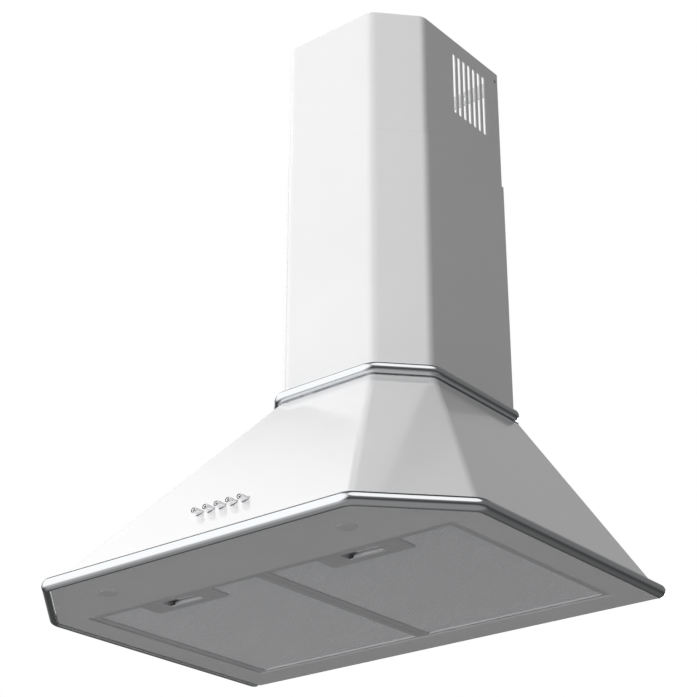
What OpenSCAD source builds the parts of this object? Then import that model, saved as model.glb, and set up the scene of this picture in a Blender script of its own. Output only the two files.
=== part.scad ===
// Chimney range hood with a pyramid canopy, a telescoping chimney, two grease filters,
// a centrifugal blower and a row of push buttons. Millimetres, +Z up, front at -Y.
// The wall is the plane Y = 0 and the underside of the hood lies at Z = 0.

/* [Canopy] */
// Width of the canopy inside the lower rail
hood_w = 600; // [580:5:700]
// Depth of the canopy from the wall
hood_d = 449; // [440:1:500]
// Width that each front chamfer takes off the canopy
hood_chamfer = 88; // [80:1:100]
// Depth of every chamfer as a share of its width
chamfer_depth_share = 1.06; // [1:0.01:1.1]
// Height at which the canopy's faces start to slope
skirt_z = 6; // [5.5:0.5:8]
// Height of the canopy's top edge
canopy_top_z = 260; // [258:1:300]
// How far the top edge stands outside the lower chimney cover
canopy_margin = 5.8; // [5.4:0.1:7]
// Bend radius of the canopy's corners
canopy_bend_r = 14; // [8:1:20]
// Thickness of the canopy's wall, measured level
canopy_sheet = 1.5; // [1.2:0.1:2]
// Width of the lips that the canopy turns inwards at its rear and top
canopy_lip = 14; // [12:1:16]

/* [Rails] */
// Radius of the lower rail's half-round bar
lower_rail_r = 7.5; // [6.5:0.1:8.5]
// How far the lower rail's round centre stands out from the canopy
lower_rail_out = 2.3; // [1.5:0.1:3]
// Height of the lower rail's centre
lower_rail_z = 4.8; // [4:0.1:6]
// Radius of the upper rail's half-round bar
upper_rail_r = 7; // [6.5:0.1:7.5]
// How far the upper rail's round centre stands out from the chimney cover
upper_rail_out = 5; // [4.5:0.1:5.5]

/* [Chimney] */
// Width of the lower chimney cover
cover_w = 233; // [225:1:250]
// Depth of the lower chimney cover
cover_d = 225.4; // [220:0.2:240]
// Width that each front chamfer takes off the lower cover
cover_chamfer = 48.6; // [44:0.2:54]
// Outer bend radius of the lower cover's corners
cover_bend_r = 18; // [10:1:24]
// Height of the lower cover's top edge, which is the visible seam
seam_z = 604; // [560:1:640]
// How much of the upper cover shows above the seam
upper_shown_h = 180; // [150:1:220]
// Length of the upper cover
upper_len = 340; // [320:1:360]
// Play between the two covers
cover_play = 0.3; // [0.3:0.05:0.5]
// Width of the lips that the covers turn in along the wall
cover_lip = 14; // [12:1:18]

/* [Vents and upper bracket] */
// Number of vent slots on each side of the upper cover
vent_count = 7; // [5:1:8]
// Distance from one vent slot to the next
vent_pitch = 11.2; // [10:0.1:12]
// Width of a vent slot
vent_w = 5.4; // [4.5:0.1:6]
// Height of a vent slot, round ends included
vent_h = 93; // [80:1:100]
// Distance from the upper cover's top edge to the slots
vent_drop = 22; // [18:1:26]
// Distance from the wall to the middle of the row of slots
vent_y = 72; // [68:1:80]
// Radius of the bracket screw's hole in the upper cover's side
side_hole_r = 2.6; // [2.2:0.1:3]
// Distance from the wall to the bracket screw
side_hole_y = 9; // [8:0.5:12]
// Distance from the upper cover's top edge to the bracket screw
side_hole_drop = 14; // [12:1:18]
// Height of the upper wall bracket
bracket_h = 22; // [18:1:26]
// Distance between the upper bracket's two wall holes
bracket_hole_gap = 120; // [100:1:140]
// Radius of the upper bracket's wall holes
bracket_hole_r = 3.2; // [2.5:0.1:4]

/* [Underside] */
// Distance from the filter opening to the canopy's side
opening_side = 39; // [34:1:50]
// Distance from the filter opening to the canopy's front
opening_front = 104; // [100:1:110]
// Distance from the filter opening to the wall
opening_rear = 42.5; // [40:0.5:50]
// Height of the flange round the filter opening
opening_flange_z = 14; // [13:0.5:18]
// Width of the doubled hem at the opening's rear edge
hem_w = 10; // [8:1:14]

/* [Filters] */
// Gap round each filter
filter_gap = 1; // [0.8:0.1:1.5]
// Recess of the filter's face from the underside
filter_recess = 2; // [1.9:0.1:2.2]
// Thickness of a filter
filter_t = 9; // [8.6:0.1:9.4]
// Wall of the filter's frame
frame_wall = 1.2; // [1:0.1:1.4]
// Lip of the filter's frame, above and below the mesh
frame_lip = 0.8; // [0.6:0.1:1]
// Width of the frame's border at the front and the sides
frame_border = 9.5; // [8:0.5:12]
// Width of the frame's border at the rear
frame_rear_border = 5; // [4:0.5:7]
// Width of the two tabs on which a filter hangs
tab_w = 20; // [14:1:26]
// Distance between a filter's two tabs
tab_gap = 150; // [120:5:180]
// How far the tabs reach over the hem
tab_reach = 6; // [5:0.5:7]

/* [Handle and latch] */
// Width of the handle plate
plate_w = 110; // [100:1:124]
// How far the handle plate reaches into the mesh
plate_reach = 31; // [30:0.5:34]
// Radius of the handle plate's inner corners
plate_corner_r = 8; // [5:1:10]
// Width of the finger recess
recess_w = 50; // [46:1:56]
// Depth of the finger recess, front to rear
recess_d = 16; // [15:0.5:17]
// Distance from the frame's border to the finger recess
recess_start = 3.5; // [3:0.25:4]
// Radius of the latch's finger bar
latch_bar_r = 2.4; // [2.2:0.1:2.5]
// Length of the latch's finger bar
latch_bar_len = 44; // [38:1:48]
// Width of the latch's tongue
tongue_w = 30; // [20:1:36]
// Thickness of the latch's tongue
tongue_t = 1.2; // [1:0.1:1.4]
// Travel of the latch
latch_travel = 4; // [3:0.5:4]

/* [Lamps] */
// Distance between the two lamps
lamp_gap = 340; // [300:5:360]
// Distance from the lamps to the canopy's front
lamp_inset = 48; // [44:1:54]
// Radius of the lamp's lens
lamp_r = 10.8; // [9:0.2:14]
// Height of the lens below the underside
lens_drop = 1.6; // [1:0.1:2.5]
// Height of the lamp's body above the panel
lamp_body_h = 15; // [12:1:18]
// Width of the flange that carries the lamp's body on the panel
lamp_flange_w = 3; // [2:0.5:4]

/* [Buttons] */
// Number of push buttons
button_count = 5; // [5:1:5]
// Distance from one button to the next
button_pitch = 16.5; // [14:0.5:18]
// Radius of a button
button_r = 4; // [3.5:0.1:4.5]
// How far a button's axis stands out from the canopy's front
button_out = 11; // [9:0.5:13]
// Height of the row of buttons
button_z = 62; // [58:1:70]
// Travel of a button
button_travel = 3.5; // [2.5:0.5:4]
// Length of a button inside the canopy's front
button_inside = 26; // [24:1:30]
// Rounding of a button's front edge
button_round = 1; // [0.5:0.1:1.5]

/* [Blower] */
// Radius of the blower wheel
wheel_r = 75; // [70:1:76]
// Length of the wheel's blades
wheel_w = 104; // [90:1:108]
// Radial depth of a blade
blade_d = 13; // [10:1:14]
// Thickness of a blade
blade_t = 1.2; // [1:0.1:1.6]
// Number of blades
blade_count = 36; // [28:2:40]
// Lean of a blade from the radius
blade_lean = 28; // [15:1:35]
// Wall of the blower's housing
housing_wall = 2; // [1.5:0.1:2.5]
// Width of the housing's inside
housing_w = 116; // [114:1:120]
// Smallest gap between the wheel and the housing
tongue_gap = 7; // [5:0.5:8]
// Largest radius of the housing's scroll
scroll_r = 112; // [110:1:116]
// Width of the outlet's throat
throat_w = 110; // [104:1:112]
// Height of the wheel's shaft
shaft_z = 150; // [148:1:156]
// Radius of the inlets
inlet_r = 63; // [60:0.5:64]
// Radius of the motor
motor_r = 44; // [38:1:46]
// Radius of the shaft
shaft_r = 4; // [3:0.5:5]
// Radius of the wheel's hub
hub_r = 12; // [10:1:16]

/* [Duct] */
// Outer radius of the duct collar
collar_r = 74.5; // [60:0.5:75]
// Wall of the duct collar
collar_wall = 2; // [1.6:0.1:2.5]
// Height of the duct collar
collar_h = 50; // [44:1:60]
// Height of the damper's hinge above the collar's foot
damper_h = 20; // [18:1:26]
// Thickness of a damper flap
flap_t = 1.2; // [1:0.1:1.4]
// Radius of the damper's pin
pin_r = 1.5; // [1.2:0.1:1.8]
// Radius of the flaps' knuckles
knuckle_r = 3; // [2.8:0.1:3.4]
// Gap between the flaps and the collar
flap_play = 1; // [0.6:0.1:1.5]

/* [Electrics] */
// Radius of the capacitor
cap_r = 17.5; // [14:0.5:18]
// Length of the capacitor
cap_len = 66; // [50:1:80]
// Height of the capacitor's axis
cap_z = 200; // [190:1:215]
// Size of the junction box
box_size = [70, 34, 50];
// Corner of the junction box nearest to the middle
box_x = 76; // [72:1:82]
// Height of the junction box's bottom
box_z = 140; // [135:1:150]
// Thickness of the junction box's lid
lid_t = 2; // [1.5:0.1:3]
// Radius of the cable gland
gland_r = 8; // [7:0.5:9]
// Radius of the gland's cable bore
gland_bore_r = 4; // [3:0.25:5]
// Height of the gland above the support plate
gland_h = 14; // [10:1:18]
// Distance of the gland from the lower cover's side
gland_side = 19.5; // [17.5:0.5:21.5]
// Distance of the gland from the wall
gland_y = 22; // [18:1:26]
// Size of the lamp driver
driver_size = [90, 34, 22];
// Radius of the inner leads
lead_r = 2.5; // [2:0.25:3]

/* [Wall] */
// Distance between the wall holes, side to side
wall_hole_x = 200; // [190:5:210]
// Distance between the wall holes, up and down
wall_hole_z = 165; // [150:5:170]
// Height of the lower pair of wall holes
wall_hole_low = 60; // [50:1:60]
// Radius of the wall holes
wall_hole_r = 4; // [3:0.25:5]

/* [Sheet and screws] */
// Thickness of the folded sheet
sheet = 1.2; // [1:0.1:1.4]
// Gap between pieces that aren't pressed together
clear = 0.3; // [0.2:0.05:0.4]
// Radius of a small screw's shank
screw_r = 1.6; // [1.4:0.1:1.8]
// Radius of a small screw's head
head_r = 2.8; // [2.5:0.1:3]
// Height of a small screw's head
head_h = 1.6; // [1.2:0.1:2]
// Radius of the shank of the upper rail's screws
small_screw_r = 1.2; // [1:0.1:1.3]
// Radius of the head of the upper rail's screws
small_head_r = 2.2; // [2:0.1:2.3]

/* [Hidden] */
$fn = 64;
// Steps in which the corner of a plate's outline turns
bend_steps = 6;
// Overrun of every cut
over = 1;
// How far a rail's straight runs reach into its bends, and how far the bends stand proud of them
bend_lap = 0.3;
bend_proud = 0.03;
// Depth of the screws in a rail
rail_thread = 5;
// Thickness of the slice that ends a sloping shell
slice = 0.01;
// Radial play of a pin or a button in its bore
running_play = 0.08;
// Play of a screw in its hole
screw_play = 0.1;

// Places that follow from the sizes
chamfer_slant = sqrt(1 + pow(chamfer_depth_share, 2));
canopy_top_w = cover_w + 2*canopy_margin;
canopy_top_d = cover_d + canopy_margin;
canopy_top_chamfer = inset_chamfer(cover_chamfer, -canopy_margin);
plate_top = canopy_top_z + sheet;
upper_rail_z = plate_top + upper_rail_r + screw_play;
upper_top = seam_z + upper_shown_h;
upper_bottom = upper_top - upper_len;
upper_inset = sheet + cover_play;
collar_y = -cover_d/2;
gland_x = cover_w/2 - gland_side;
opening_w = hood_w - 2*opening_side;
opening_y = -(hood_d - opening_front);
filter_w = (opening_w - 3*filter_gap)/2;
filter_front = opening_y + filter_gap;
filter_rear = -(opening_rear + filter_gap);
filter_top = filter_recess + filter_t;
filter_x = (filter_gap + filter_w)/2;
hem_top = 2*sheet;
mesh_z = filter_recess + frame_lip;
mesh_top = filter_top - frame_lip;
border_y = filter_front + frame_border;
plate_rear = border_y + plate_reach;
cup_wall = frame_lip;
tongue_z = mesh_top - frame_lip - tongue_t;
bar_y = plate_rear - cup_wall - latch_travel - latch_bar_r - clear;
bar_z = mesh_z + latch_bar_r + clear;
tongue_tip = filter_front - filter_gap*0.8;

function inset_chamfer(c, e) = c + e*(chamfer_slant - chamfer_depth_share - 1)/chamfer_depth_share;

// Open plan path, from the left wall end round the front to the right wall end, moved in by e
function plan_path(w, d, c, e = 0, back = 0) =
    let (half = w/2 - e, front = d - e, cut = inset_chamfer(c, e))
    let (side = front - cut*chamfer_depth_share)
    [[-half, back], [-half, -side], [cut - half, -front], [half - cut, -front], [half, -side], [half, back]];

function unit(v) = v/norm(v);
function heading(v) = atan2(v.y, v.x);
function turned(v, angle) = [v.x*cos(angle) - v.y*sin(angle), v.x*sin(angle) + v.y*cos(angle)];
function outward(p, q) = let (t = unit(q - p)) [t.y, -t.x];
function corner(p, q, s) = acos(unit(p - q)*unit(s - q));
function bend_centre(p, q, s, r) = q + unit(unit(p - q) + unit(s - q))*r/sin(corner(p, q, s)/2);
function tangent_length(p, q, s, r) = r/tan(corner(p, q, s)/2);

// The same path with its corners rounded, as the outline of a plate
function rounded(path, r) = [
    path[0],
    for (i = [1:len(path) - 2])
        let (p = path[i - 1], q = path[i], s = path[i + 1])
        for (j = [0:bend_steps])
            bend_centre(p, q, s, r) + turned(r*outward(p, q), (180 - corner(p, q, s))*j/bend_steps),
    path[len(path) - 1]
];

// A folded wall: its outer face lies e inside the plan, and it is open at the wall
module folded_wall(w, d, c, e, back, r, t, low, high) {
    difference() {
        translate([0, 0, low]) linear_extrude(high - low) polygon(rounded(plan_path(w, d, c, e, back), r - e));
        translate([0, 0, low - over])
            linear_extrude(high - low + 2*over) polygon(rounded(plan_path(w, d, c, e + t, over), r - e - t));
    }
}

// A flat plate with the hood's plan
module plan_plate(w, d, c, e, r, t, back = 0) {
    linear_extrude(t) polygon(rounded(plan_path(w, d, c, e, back), r - e));
}

// A block given by two opposite corners
module block(a, b) {
    translate([min(a.x, b.x), min(a.y, b.y), min(a.z, b.z)])
        cube([abs(b.x - a.x), abs(b.y - a.y), abs(b.z - a.z)]);
}

// A screw that points up, with its head's underside at the origin
module screw(len, r = screw_r, head = head_r, height = head_h) {
    cylinder(r = r, h = len);
    translate([0, 0, -height]) cylinder(r = head, h = height);
}

// A half-round bar's section, with its flat side on the Y axis
module bar_section(r, out, proud = 0) {
    intersection() {
        translate([out, 0]) circle(r = r + proud);
        translate([-proud, -2*r]) square([4*r, 4*r]);
    }
}

// A half-round bar along the plan, with true bends and its ends rounded towards the wall
module rail(w, d, c, bend, r, out, z) {
    reach = r + out;
    path = plan_path(w, d, c, -clear, -reach);
    turn_r = bend + clear;
    last = len(path) - 2;
    translate([0, 0, z]) {
        for (i = [0:last]) {
            a = path[i];
            b = path[i + 1];
            cut_a = i == 0 ? 0 : tangent_length(path[i - 1], a, b, turn_r) - bend_lap;
            cut_b = i == last ? 0 : tangent_length(a, b, path[i + 2], turn_r) - bend_lap;
            end = b - unit(b - a)*cut_b;
            translate([end.x, end.y, 0])
                rotate([90, 0, heading(outward(a, b))])
                    linear_extrude(norm(b - a) - cut_a - cut_b) bar_section(r, out);
        }
        for (i = [1:last]) {
            p = path[i - 1];
            q = path[i];
            s = path[i + 1];
            centre = bend_centre(p, q, s, turn_r);
            translate([centre.x, centre.y, 0])
                rotate([0, 0, heading(outward(p, q))])
                    rotate_extrude(angle = 180 - corner(p, q, s))
                        translate([turn_r, 0]) bar_section(r, out, bend_proud);
        }
        for (side = [-1, 1])
            translate([side*(w/2 + clear), -reach, 0])
                rotate([0, 0, side < 0 ? 90 : 0]) rotate_extrude(angle = 90) bar_section(r, out);
    }
}

// The canopy
function slope_share(z) = (z - skirt_z)/(canopy_top_z - skirt_z);
function canopy_w(z) = hood_w + (canopy_top_w - hood_w)*slope_share(z);
function canopy_d(z) = hood_d + (canopy_top_d - hood_d)*slope_share(z);
function canopy_chamfer(z) = hood_chamfer + (canopy_top_chamfer - hood_chamfer)*slope_share(z);

module canopy_block(e, low, high, back) {
    hull() {
        translate([0, 0, low])
            linear_extrude(skirt_z - low)
                polygon(rounded(plan_path(hood_w, hood_d, hood_chamfer, e, back), canopy_bend_r - e));
        translate([0, 0, high - slice])
            linear_extrude(slice)
                polygon(rounded(
                    plan_path(canopy_w(high), canopy_d(high), canopy_chamfer(high), e, back),
                    canopy_bend_r - e));
    }
}

// A lip along the canopy's rear edge, on the side given
module rear_lip(side) {
    low = skirt_z;
    high = canopy_top_z - sheet;
    root = canopy_sheet/2;
    translate([0, -sheet, 0]) rotate([90, 0, 0]) linear_extrude(sheet) polygon([
        [side*(canopy_w(low)/2 - root), low],
        [side*(canopy_w(low)/2 - canopy_lip), low],
        [side*(canopy_w(high)/2 - canopy_lip), high],
        [side*(canopy_w(high)/2 - root), high]
    ]);
}

// Places of the screws that hold the lower rail, with +Z pointing out of the canopy
lower_screw_y_shares = [0.22, 0.62];
lower_screw_x_shares = [-0.25, 0, 0.25];
lower_screw_start = canopy_sheet + clear + sheet;
module lower_rail_places() {
    for (side = [-1, 1], share = lower_screw_y_shares)
        translate([side*hood_w/2, -hood_d*share, lower_rail_z]) rotate([0, side*90, 0]) children();
    for (share = lower_screw_x_shares)
        translate([hood_w*share, -hood_d, lower_rail_z]) rotate([90, 0, 0]) children();
}

// Places of the screws that clamp the canopy, the support plate and the upper rail
upper_screw_in = 2.4;
upper_screw_y_shares = [0.15, 0.6];
upper_screw_x_share = 0.2;
module upper_rail_places() {
    for (side = [-1, 1], share = upper_screw_y_shares)
        translate([side*(cover_w/2 + upper_screw_in), -cover_d*share, 0]) children();
    for (side = [-1, 1])
        translate([side*cover_w*upper_screw_x_share, -(cover_d + upper_screw_in), 0]) children();
}

// Places of the rivets that hold the back panel to the canopy's rear lips
rivet_z_shares = [0.12, 0.5, 0.88];
module rivet_places() {
    for (side = [-1, 1], share = rivet_z_shares)
        let (z = canopy_top_z*share)
        translate([side*(canopy_w(z)/2 - (canopy_lip + canopy_sheet)/2), -hem_top, z])
            rotate([-90, 0, 0]) children();
}

// The row of buttons, on the canopy's front face
button_face_y = -canopy_d(button_z);
button_tip_y = button_face_y - button_out;
button_end_y = button_face_y + button_inside;
function button_x(i) = (i - (button_count + 1)/2)*button_pitch;

module canopy_shell() color("#f3f3f1") {
    difference() {
        union() {
            difference() {
                canopy_block(0, sheet, canopy_top_z, 0);
                canopy_block(canopy_sheet, -over, canopy_top_z + over, over);
            }
            translate([0, 0, canopy_top_z - sheet]) difference() {
                plan_plate(canopy_top_w, canopy_top_d, canopy_top_chamfer, canopy_sheet/2, canopy_bend_r, sheet);
                translate([0, over, -over])
                    plan_plate(canopy_top_w, canopy_top_d + over, canopy_top_chamfer,
                        canopy_lip, canopy_bend_r + canopy_lip, sheet + 2*over);
            }
            for (side = [-1, 1]) rear_lip(side);
        }
        block([-canopy_top_w, -hem_top, canopy_top_z - 2*sheet], [canopy_top_w, over, canopy_top_z + over]);
        for (i = [1:button_count])
            translate([button_x(i), button_face_y, button_z])
                rotate([90, 0, 0]) cylinder(r = button_r + clear, h = 4*button_r, center = true);
        lower_rail_places() translate([0, 0, -lower_screw_start])
            cylinder(r = screw_r + screw_play, h = lower_screw_start + over);
        translate([0, 0, canopy_top_z - sheet - over]) {
            upper_rail_places() cylinder(r = small_screw_r + screw_play, h = sheet + 2*over);
            cover_tab_places() cylinder(r = screw_r + screw_play, h = sheet + 2*over);
        }
        rivet_places() translate([0, 0, -over]) cylinder(r = screw_r + screw_play, h = hem_top);
    }
}

// The grey underside panel, with its filter opening, hem and flanges
lamp_x = lamp_gap/2;
lamp_y = -(hood_d - lamp_inset);
panel_edge = canopy_sheet/2;
skirt_flange_inset = canopy_sheet + clear;
module underside_panel() color("#8b8b8b") {
    difference() {
        union() {
            plan_plate(hood_w, hood_d, hood_chamfer, panel_edge, canopy_bend_r, sheet, -sheet);
            folded_wall(hood_w, hood_d, hood_chamfer, skirt_flange_inset, -(hem_w + sheet),
                canopy_bend_r, sheet, sheet/2, skirt_z);
            block([-(opening_w/2 + sheet), -(opening_rear - hem_w), sheet/2],
                [opening_w/2 + sheet, opening_y - sheet, hem_top]);
            block([-(opening_w/2 + sheet), -opening_rear, sheet/2],
                [opening_w/2 + sheet, opening_y - sheet, opening_flange_z]);
        }
        block([-opening_w/2, -opening_rear, -over], [opening_w/2, opening_y, opening_flange_z + over]);
        block([-(opening_w/2 - over), -(opening_rear - hem_w - over), hem_top],
            [opening_w/2 - over, opening_y + over, opening_flange_z + over]);
        for (side = [-1, 1]) translate([side*lamp_x, lamp_y, -over])
            cylinder(r = lamp_r - lamp_flange_w + clear, h = sheet + 2*over);
        lower_rail_places() translate([0, 0, -lower_screw_start - over])
            cylinder(r = screw_r + screw_play, h = sheet + 2*over);
    }
}

// The sheet that closes the canopy's rear and carries the hood on the wall
wall_mid_z = wall_hole_low + wall_hole_z/2;
module back_panel() color("#b9bcbf") {
    high = canopy_top_z;
    inset = canopy_sheet + clear;
    difference() {
        union() {
            rotate([90, 0, 0]) linear_extrude(sheet) polygon([
                [-(hood_w/2 - inset), 0],
                [hood_w/2 - inset, 0],
                [hood_w/2 - inset, skirt_z],
                [canopy_w(high)/2 - inset, high],
                [-(canopy_w(high)/2 - inset), high],
                [-(hood_w/2 - inset), skirt_z]
            ]);
            block([-opening_w/2, -hem_w, sheet], [opening_w/2, -sheet/2, hem_top]);
            block([-(canopy_top_w/2 - canopy_lip), -canopy_lip, high - sheet],
                [canopy_top_w/2 - canopy_lip, -sheet/2, high]);
        }
        for (x = [-1, 1], z = [0, 1])
            translate([x*wall_hole_x/2, over, wall_hole_low + z*wall_hole_z])
                rotate([90, 0, 0]) cylinder(r = wall_hole_r, h = sheet + 2*over);
        rivet_places() cylinder(r = screw_r + screw_play, h = hem_top + over);
    }
}

module back_panel_rivets() color("#c9ccd0") {
    rivet_places() translate([0, 0, -clear/3]) screw(hem_top - clear/3);
}

// The chrome rails
module lower_rail() color("#dcdfe2") {
    difference() {
        rail(hood_w, hood_d, hood_chamfer, canopy_bend_r, lower_rail_r, lower_rail_out, lower_rail_z);
        lower_rail_places() cylinder(r = screw_r + screw_play, h = rail_thread + over);
    }
}

module lower_rail_screws() color("#a9adb2") {
    lower_rail_places() translate([0, 0, -lower_screw_start])
        screw(lower_screw_start + rail_thread);
}

module upper_rail() color("#dcdfe2") {
    difference() {
        rail(cover_w, cover_d, cover_chamfer, cover_bend_r, upper_rail_r, upper_rail_out, upper_rail_z);
        upper_rail_places() translate([0, 0, plate_top - over])
            cylinder(r = small_screw_r + screw_play, h = rail_thread + 2*over);
    }
}

module upper_rail_screws() color("#a9adb2") {
    upper_rail_places() translate([0, 0, canopy_top_z - sheet]) screw(2*sheet + rail_thread, small_screw_r, small_head_r);
}

// The plate on the canopy's top, which carries the blower, the collar and the lower cover
flange_half = collar_r + over;
flange_t = housing_wall;
blower_screw_at = flange_half - 2*head_r;
module blower_screw_places() {
    for (x = [-1, 1], y = [-1, 1])
        translate([x*blower_screw_at, collar_y + y*blower_screw_at, 0]) children();
}
throat_x = housing_w/2;
throat_y = throat_w/2;
cover_tab = 12;
cover_tab_x = cover_w/2 - sheet - cover_tab/2;
module cover_tab_places() {
    for (side = [-1, 1]) translate([side*cover_tab_x, collar_y, 0]) children();
}
module support_plate() color("#b9bcbf") {
    difference() {
        translate([0, 0, canopy_top_z])
            plan_plate(canopy_top_w, canopy_top_d, canopy_top_chamfer, clear, canopy_bend_r, sheet);
        block([-throat_x, collar_y - throat_y, canopy_top_z - over],
            [throat_x, collar_y + throat_y, plate_top + over]);
        translate([0, 0, canopy_top_z - over]) {
            upper_rail_places() cylinder(r = small_screw_r + screw_play, h = sheet + 2*over);
            blower_screw_places() cylinder(r = screw_r + screw_play, h = sheet + 2*over);
            cover_tab_places() cylinder(r = screw_r + screw_play, h = sheet + 2*over);
            translate([gland_x, -gland_y, 0]) cylinder(r = gland_bore_r + sheet, h = sheet + 2*over);
        }
    }
}

// The chimney's lower cover stands on the support plate
module lower_chimney_cover() color("#f3f3f1") {
    folded_wall(cover_w, cover_d, cover_chamfer, 0, 0, cover_bend_r, sheet, plate_top, seam_z);
    for (side = [-1, 1]) {
        block([side*(cover_w/2 - sheet/2), -sheet, plate_top],
            [side*(cover_w/2 - cover_lip), 0, seam_z]);
        difference() {
            block([side*(cover_w/2 - sheet/2), collar_y - cover_tab, plate_top],
                [side*(cover_w/2 - sheet - cover_tab), collar_y + cover_tab, plate_top + sheet]);
            cover_tab_places() translate([0, 0, plate_top - over])
                cylinder(r = screw_r + screw_play, h = sheet + 2*over);
        }
    }
}

module lower_cover_screws() color("#a9adb2") {
    cover_tab_places() translate([0, 0, plate_top + sheet]) mirror([0, 0, 1]) screw(3*sheet);
}

// The chimney's upper cover slides inside the lower one
vent_top = upper_top - vent_drop;
module vent_slot() {
    long = cover_w + 2*over;
    translate([-long/2, 0, vent_top - vent_w/2]) rotate([0, 90, 0]) {
        cylinder(r = vent_w/2, h = long);
        translate([vent_h - vent_w, 0, 0]) cylinder(r = vent_w/2, h = long);
        translate([0, -vent_w/2, 0]) cube([vent_h - vent_w, vent_w, long]);
    }
}
side_hole_z = upper_top - side_hole_drop;
upper_back = upper_inset;
module upper_chimney_cover() color("#f3f3f1") {
    half = cover_w/2 - upper_inset;
    difference() {
        union() {
            folded_wall(cover_w, cover_d, cover_chamfer, upper_inset, -upper_back,
                cover_bend_r, sheet, upper_bottom, upper_top);
            for (side = [-1, 1])
                block([side*(half - sheet/2), -(upper_back + sheet), upper_bottom],
                    [side*(half - cover_lip), -upper_back, upper_top]);
        }
        for (i = [1:vent_count])
            translate([0, (i - (vent_count + 1)/2)*vent_pitch - vent_y, 0]) vent_slot();
        translate([0, -side_hole_y, side_hole_z]) rotate([0, 90, 0])
            cylinder(r = side_hole_r, h = cover_w, center = true);
    }
}

// The bracket behind the upper cover's rear lips, which is screwed to the wall
bracket_front = upper_back + 2*sheet;
bracket_low = side_hole_z - bracket_h/2;
bracket_high = side_hole_z + bracket_h/2;
module upper_chimney_bracket() color("#b9bcbf") {
    half = cover_w/2 - upper_inset - sheet;
    jog = half - cover_lip - sheet;
    difference() {
        union() {
            block([-jog, -sheet, bracket_low], [jog, 0, bracket_high]);
            for (side = [-1, 1]) {
                block([side*jog, -bracket_front, bracket_low], [side*(jog - sheet), 0, bracket_high]);
                block([side*(jog - sheet), -bracket_front, bracket_low],
                    [side*half, -(bracket_front - sheet), bracket_high]);
                block([side*half, -bracket_front, bracket_low],
                    [side*(half - sheet), -(side_hole_y + 2*head_r), bracket_high]);
            }
        }
        for (side = [-1, 1]) translate([side*bracket_hole_gap/2, over, side_hole_z])
            rotate([90, 0, 0]) cylinder(r = bracket_hole_r, h = sheet + 2*over);
        translate([0, -side_hole_y, side_hole_z]) rotate([0, 90, 0])
            cylinder(r = screw_r + screw_play, h = cover_w, center = true);
    }
}

module upper_chimney_screws() color("#c9ccd0") {
    half = cover_w/2 - upper_inset - sheet;
    for (side = [-1, 1])
        translate([side*half, -side_hole_y, side_hole_z])
            rotate([0, -side*90, 0]) screw(3*sheet, screw_r, side_hole_r - screw_play, sheet - screw_play);
}

// The blower hangs under the support plate, with its shaft along X
scroll_y = collar_y + throat_y - scroll_r;
scroll_start = 95;
tongue_r = wheel_r + tongue_gap;
scroll_steps = 30;
function scroll_point(i, grow) =
    let (angle = scroll_start + (360 - scroll_start)*i/scroll_steps)
    let (r = tongue_r + (scroll_r - tongue_r)*i/scroll_steps + grow)
    [r*cos(angle), r*sin(angle)];
function scroll_outline(grow, top) = [
    for (i = [0:scroll_steps]) scroll_point(i, grow),
    [scroll_r + grow, top],
    [scroll_r - throat_w - grow, top]
];
blower_top = canopy_top_z - shaft_z;

// Turns a drawing with Y forward and Z up into one that stands across the hood at the shaft
module across(x, w) {
    translate([x, scroll_y, shaft_z]) rotate([90, 0, 90]) linear_extrude(w) children();
}
module shaft_cylinder(r, x, w) {
    translate([x, scroll_y, shaft_z]) rotate([0, 90, 0]) cylinder(r = r, h = w);
}

module blower_housing() color("#c3c6c9") {
    left = -(housing_w/2 + housing_wall);
    difference() {
        union() {
            across(left, housing_w + housing_wall) polygon(scroll_outline(housing_wall, blower_top));
            block([-flange_half, collar_y - flange_half, canopy_top_z - flange_t],
                [flange_half, collar_y + flange_half, canopy_top_z]);
        }
        across(-housing_w/2, housing_w + over) polygon(scroll_outline(0, blower_top + over));
        block([housing_w/2, collar_y - flange_half - over, 0],
            [housing_w/2 + housing_wall + clear, collar_y + flange_half + over, canopy_top_z - flange_t]);
        shaft_cylinder(inlet_r, left - over, housing_wall + 2*over);
        blower_screw_places() translate([0, 0, canopy_top_z - flange_t - over])
            cylinder(r = screw_r + screw_play, h = flange_t + 2*over);
    }
}

arm_count = 3;
arm_w = 12;
ring_w = 8;
module arm_places(r) {
    for (i = [0:arm_count - 1]) translate([0, scroll_y, shaft_z]) rotate([90 + 360*i/arm_count, 0, 0])
        translate([0, r, 0]) rotate([0, 90, 0]) children();
}
side_x = housing_w/2;
bracket_x = side_x + housing_wall;
module blower_side_plate() color("#c3c6c9") {
    difference() {
        across(side_x, housing_wall) polygon(scroll_outline(housing_wall, blower_top - flange_t));
        shaft_cylinder(inlet_r, side_x - over, housing_wall + 2*over);
        arm_places(inlet_r + ring_w/2) translate([0, 0, side_x - over])
            cylinder(r = screw_r + screw_play, h = housing_wall + 2*over);
    }
}

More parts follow.
